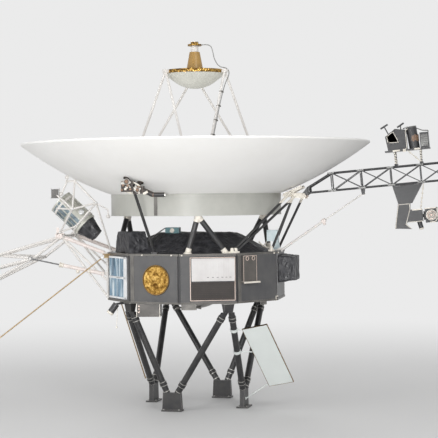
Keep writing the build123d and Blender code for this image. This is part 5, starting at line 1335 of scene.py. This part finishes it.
# Generator boom, its outrigger and its damper.
# White-wrapped tubes; dark finned generators with bolted ends and long side panels; a damper with a
# machined gland and a white wrap.
GENERATOR_ROOT, GENERATOR_PITCH = Vector((-2.330, 0, 1.430)), 0.560
GENERATOR_DROOP = math.radians(-8)
OUTRIGGER_X, OUTRIGGER_Z = -1.404, 1.792
WRAP_RADIUS, TUBE_RADIUS = 0.0205, 0.0155
wear(brushed, "damper_rod")
wear(pink_white, "damper_cylinder")
fin_grey = painted(
    "generator_grey", (0.10, 0.10, 0.105), (0.14, 0.135, 0.13), (0.45, 0.44, 0.43),
    patch=6, rubbed=0.7, rough=(0.35, 0.6),
)
wear(fin_grey, "generator_inner", "generator_middle", "generator_outer")
generator_run = Vector((-math.cos(GENERATOR_DROOP), 0, math.sin(GENERATOR_DROOP)))


def generator_axes(reach):
    """Local axes on the generators' line: z runs out along it, at a reach from its root."""
    return axes_of(GENERATOR_ROOT + generator_run * reach, (0, 1, 0), generator_run)


work = bmesh.new()
for number in range(3):
    for end, bolt_foot in ((0.006, -0.0085), (0.502, 0.0025)):
        flange = generator_axes(0.0003 + GENERATOR_PITCH * number + end)
        for k in range(18):
            collar(work, shifted(spun(flange, k, 18), 0.181, 0, bolt_foot), 0, 0.006, 0, 0.0045, 6)
piece("generator_bolts", work, ring_metal, "generator_boom")
work = bmesh.new()
for number in range(3):
    for k in range(6):
        case = spun(generator_axes(0.2543 + GENERATOR_PITCH * number), k + 0.5, 6)
        block(work, case, (0.1505, 0, 0), (0.006, 0.095, 0.40), 0.002)
        bar(work, case @ Vector((0.156, 0.066, -0.236)), case @ Vector((0.156, 0.066, 0.236)), 0.005, 8)
case_panel = painted(
    "generator_panel", (0.16, 0.155, 0.15), (0.11, 0.105, 0.10), (0.5, 0.48, 0.46),
    patch=9, rubbed=0.8, rough=(0.3, 0.5), metal=0.3,
)
piece("generator_panels", work, case_panel, "generator_boom")
work = bmesh.new()
for azimuth, y in ((198, -0.270), (162, 0.270)):
    start, end = polar(0.9423, azimuth, 1.602), Vector((OUTRIGGER_X, y, OUTRIGGER_Z))
    length = (end - start).length
    rows = [(WRAP_RADIUS + 0.0014 * math.sin(k * 2.1), 0.04 + (length - 0.09) * k / 46) for k in range(47)]
    profile = [(TUBE_RADIUS, 0.035), *rows, (TUBE_RADIUS, length - 0.045)]
    lathe(work, axes_of(start, (0, 0, 1), (end - start).normalized()), profile, 18, 0.0008, 3)
for y, out in ((-0.312, -1), (0.312, 1)):
    cheek = axes_of((OUTRIGGER_X, y, OUTRIGGER_Z), (1, 0, 0), (0, out, 0))
    lathe(work, cheek, [(0, 0), (0.03, 0), (0.03, 0.004), (0.017, 0.009), (0, 0.009)], 20)
bracket = facing_front((OUTRIGGER_X, -0.289, OUTRIGGER_Z))
for x, y, width, height in ((-0.028, 0.052, 0.030, 0.075), (0, 0.024, 0.075, 0.02), (-0.044, 0, 0.02, 0.05)):
    block(work, bracket, (x, y, 0.001), (width, height, 0.006), 0.002)
piece("outrigger_wrap", work, pink_white, "probe", smooth=True)
damper_foot, damper_head = Vector((-0.945, -0.325, 1.399)), Vector((-1.725, -0.325, 1.557))
damper_run = (damper_head - damper_foot).normalized()
gland = axes_of(damper_foot + damper_run * 0.47, (0, 1, 0), damper_run)
valve = axes_of(damper_foot + damper_run * 0.27 + Vector((0, 0, -0.030)), (0, 1, 0), (0, 0, -1))
work = bmesh.new()
profile = [(0.0202, -0.045), (0.024, -0.042), (0.024, -0.012), (0.0275, -0.010)]
lathe(work, gland, profile + [(0.0275, 0), (0.017, 0.003), (0.0152, 0.003)], 28)
profile = [(0.0202, -0.012), (0.026, -0.010), (0.026, 0.010), (0.0202, 0.012)]
lathe(work, shifted(gland, 0, 0, -0.33), profile, 28)
lathe(work, valve, [(0, -0.012), (0.017, -0.012), (0.019, 0.012), (0.010, 0.022), (0, 0.022)], 20)
piece("damper_gland", work, cream, "damper_cylinder", smooth=True)

# Mast canister and its white tube frame.
# A silver shell in long panels between end rings, with some dark mirror strips among them; a dark
# sensor plate in a light frame; a bright end cap.
CAN_PANELS, MIRROR_PANELS = 16, (0, 5, 13, 14, 15)
silver = painted(
    "silver_canister", (0.66, 0.66, 0.60), (0.52, 0.52, 0.47), (0.8, 0.8, 0.78),
    patch=9, rubbed=0.4, rough=(0.25, 0.45), metal=0.45,
)
wear(silver, "mast_canister")
can_out, can_in = Vector((-1.407, -0.250, 2.153)), Vector((-1.139, -0.250, 1.904))
can_run = (can_out - can_in).normalized()
shell = axes_of(can_in, (0, -1, 0), can_run)
panels, mirrors = bmesh.new(), bmesh.new()
for k in range(CAN_PANELS):
    side = spun(shell, k, CAN_PANELS)
    for low, high in ((0.034, 0.172), (0.200, 0.350)):
        chosen = mirrors if k in MIRROR_PANELS else panels
        block(chosen, side, (0.1285, 0, (low + high) / 2), (0.005, 0.036, high - low), 0.0015)
    block(panels, side, (0.1285, 0.0255, 0.19), (0.004, 0.0055, 0.33))
profile = [(0.127, -0.006), (0.134, -0.006), (0.136, 0.001), (0.128, 0.002), (0.118, -0.001), (0, -0.001)]
lathe(panels, axes_of(can_out, (0, -1, 0), can_run), profile, 56)
piece("canister_panels", panels, silver, "probe")
mirror_blue = painted(
    "mirror_strip", (0.36, 0.44, 0.48), (0.10, 0.14, 0.17), (0.5, 0.55, 0.6),
    patch=16, rubbed=0.3, rough=(0.12, 0.3), metal=0.6,
)
piece("canister_mirrors", mirrors, mirror_blue, "probe")
TUBE_STUDS = (
    # place, heading
    ((-1.199, -0.539, 2.078), (0.4, -1, 0)),
    ((-0.959, -0.492, 2.137), (0.2, -1, 0.2)),
    ((-1.404, -0.298, 1.833), (0, -1, 0)),
)
sensor = facing_front((-1.400, -0.4835, 2.238))
dome = axes_of((-1.150, -0.372, 2.045), (1, 0, 0), (0.1, -0.8, 0.6))
work = bmesh.new()
light_frame = [(-0.043, -0.050), (0.043, -0.050), (0.043, 0.050), (-0.043, 0.050)]
strips(work, sensor, light_frame, 0.005, 0.003, closed=True)
lathe(work, dome, [(0, -0.01), (0.028, -0.01), (0.030, 0.006), (0.022, 0.014), (0, 0.016)], 24)
for spot, heading in TUBE_STUDS:
    bar(work, spot, Vector(spot) + Vector(heading).normalized() * 0.026, 0.010, 12, 0.007)
piece("mast_fittings", work, white_frame, "probe")
work = bmesh.new()
block(work, sensor, (0, 0, 0.001), (0.084, 0.098, 0.002))
for k in range(7):
    block(work, sensor, (-0.033 + 0.011 * k, 0, 0.0025), (0.002, 0.09, 0.001))
piece("sensor_plate_face", work, case_panel, "probe")

# Whip aerials.
# Bronze-coloured tubes that unroll from a small canister at a bay's face; each canister has a turned
# white mouth.
WHIPS = (
    # bay azimuth, place across, up and out of the bay, heading
    (216, (-0.238, 0.214, 0.066), (-0.717, -0.363, -0.593)),
    (180, (0.120, 0.206, 0.076), (0.08, 0.62, -0.78)),
)
whip_gold = painted(
    "whip_bronze", (0.50, 0.36, 0.20), (0.38, 0.26, 0.13), (0.7, 0.6, 0.4),
    patch=20, rubbed=0.3, rough=(0.3, 0.5), metal=0.7,
)
wear(whip_gold, "whip_aerials")
profile = [(0.0068, -0.034), (0.017, -0.034), (0.017, 0.004), (0.012, 0.012), (0.0068, 0.012)]
work = bmesh.new()
for azimuth, (across, up, out), heading in WHIPS:
    root = bay_frame(azimuth, LIFT) @ Vector((across, up, out - 0.014))
    lathe(work, axes_of(root + Vector(heading).normalized() * 0.034, (0, 0, 1), heading), profile, 20)
piece("whip_mouths", work, white_frame, "probe", smooth=True)

low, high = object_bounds()
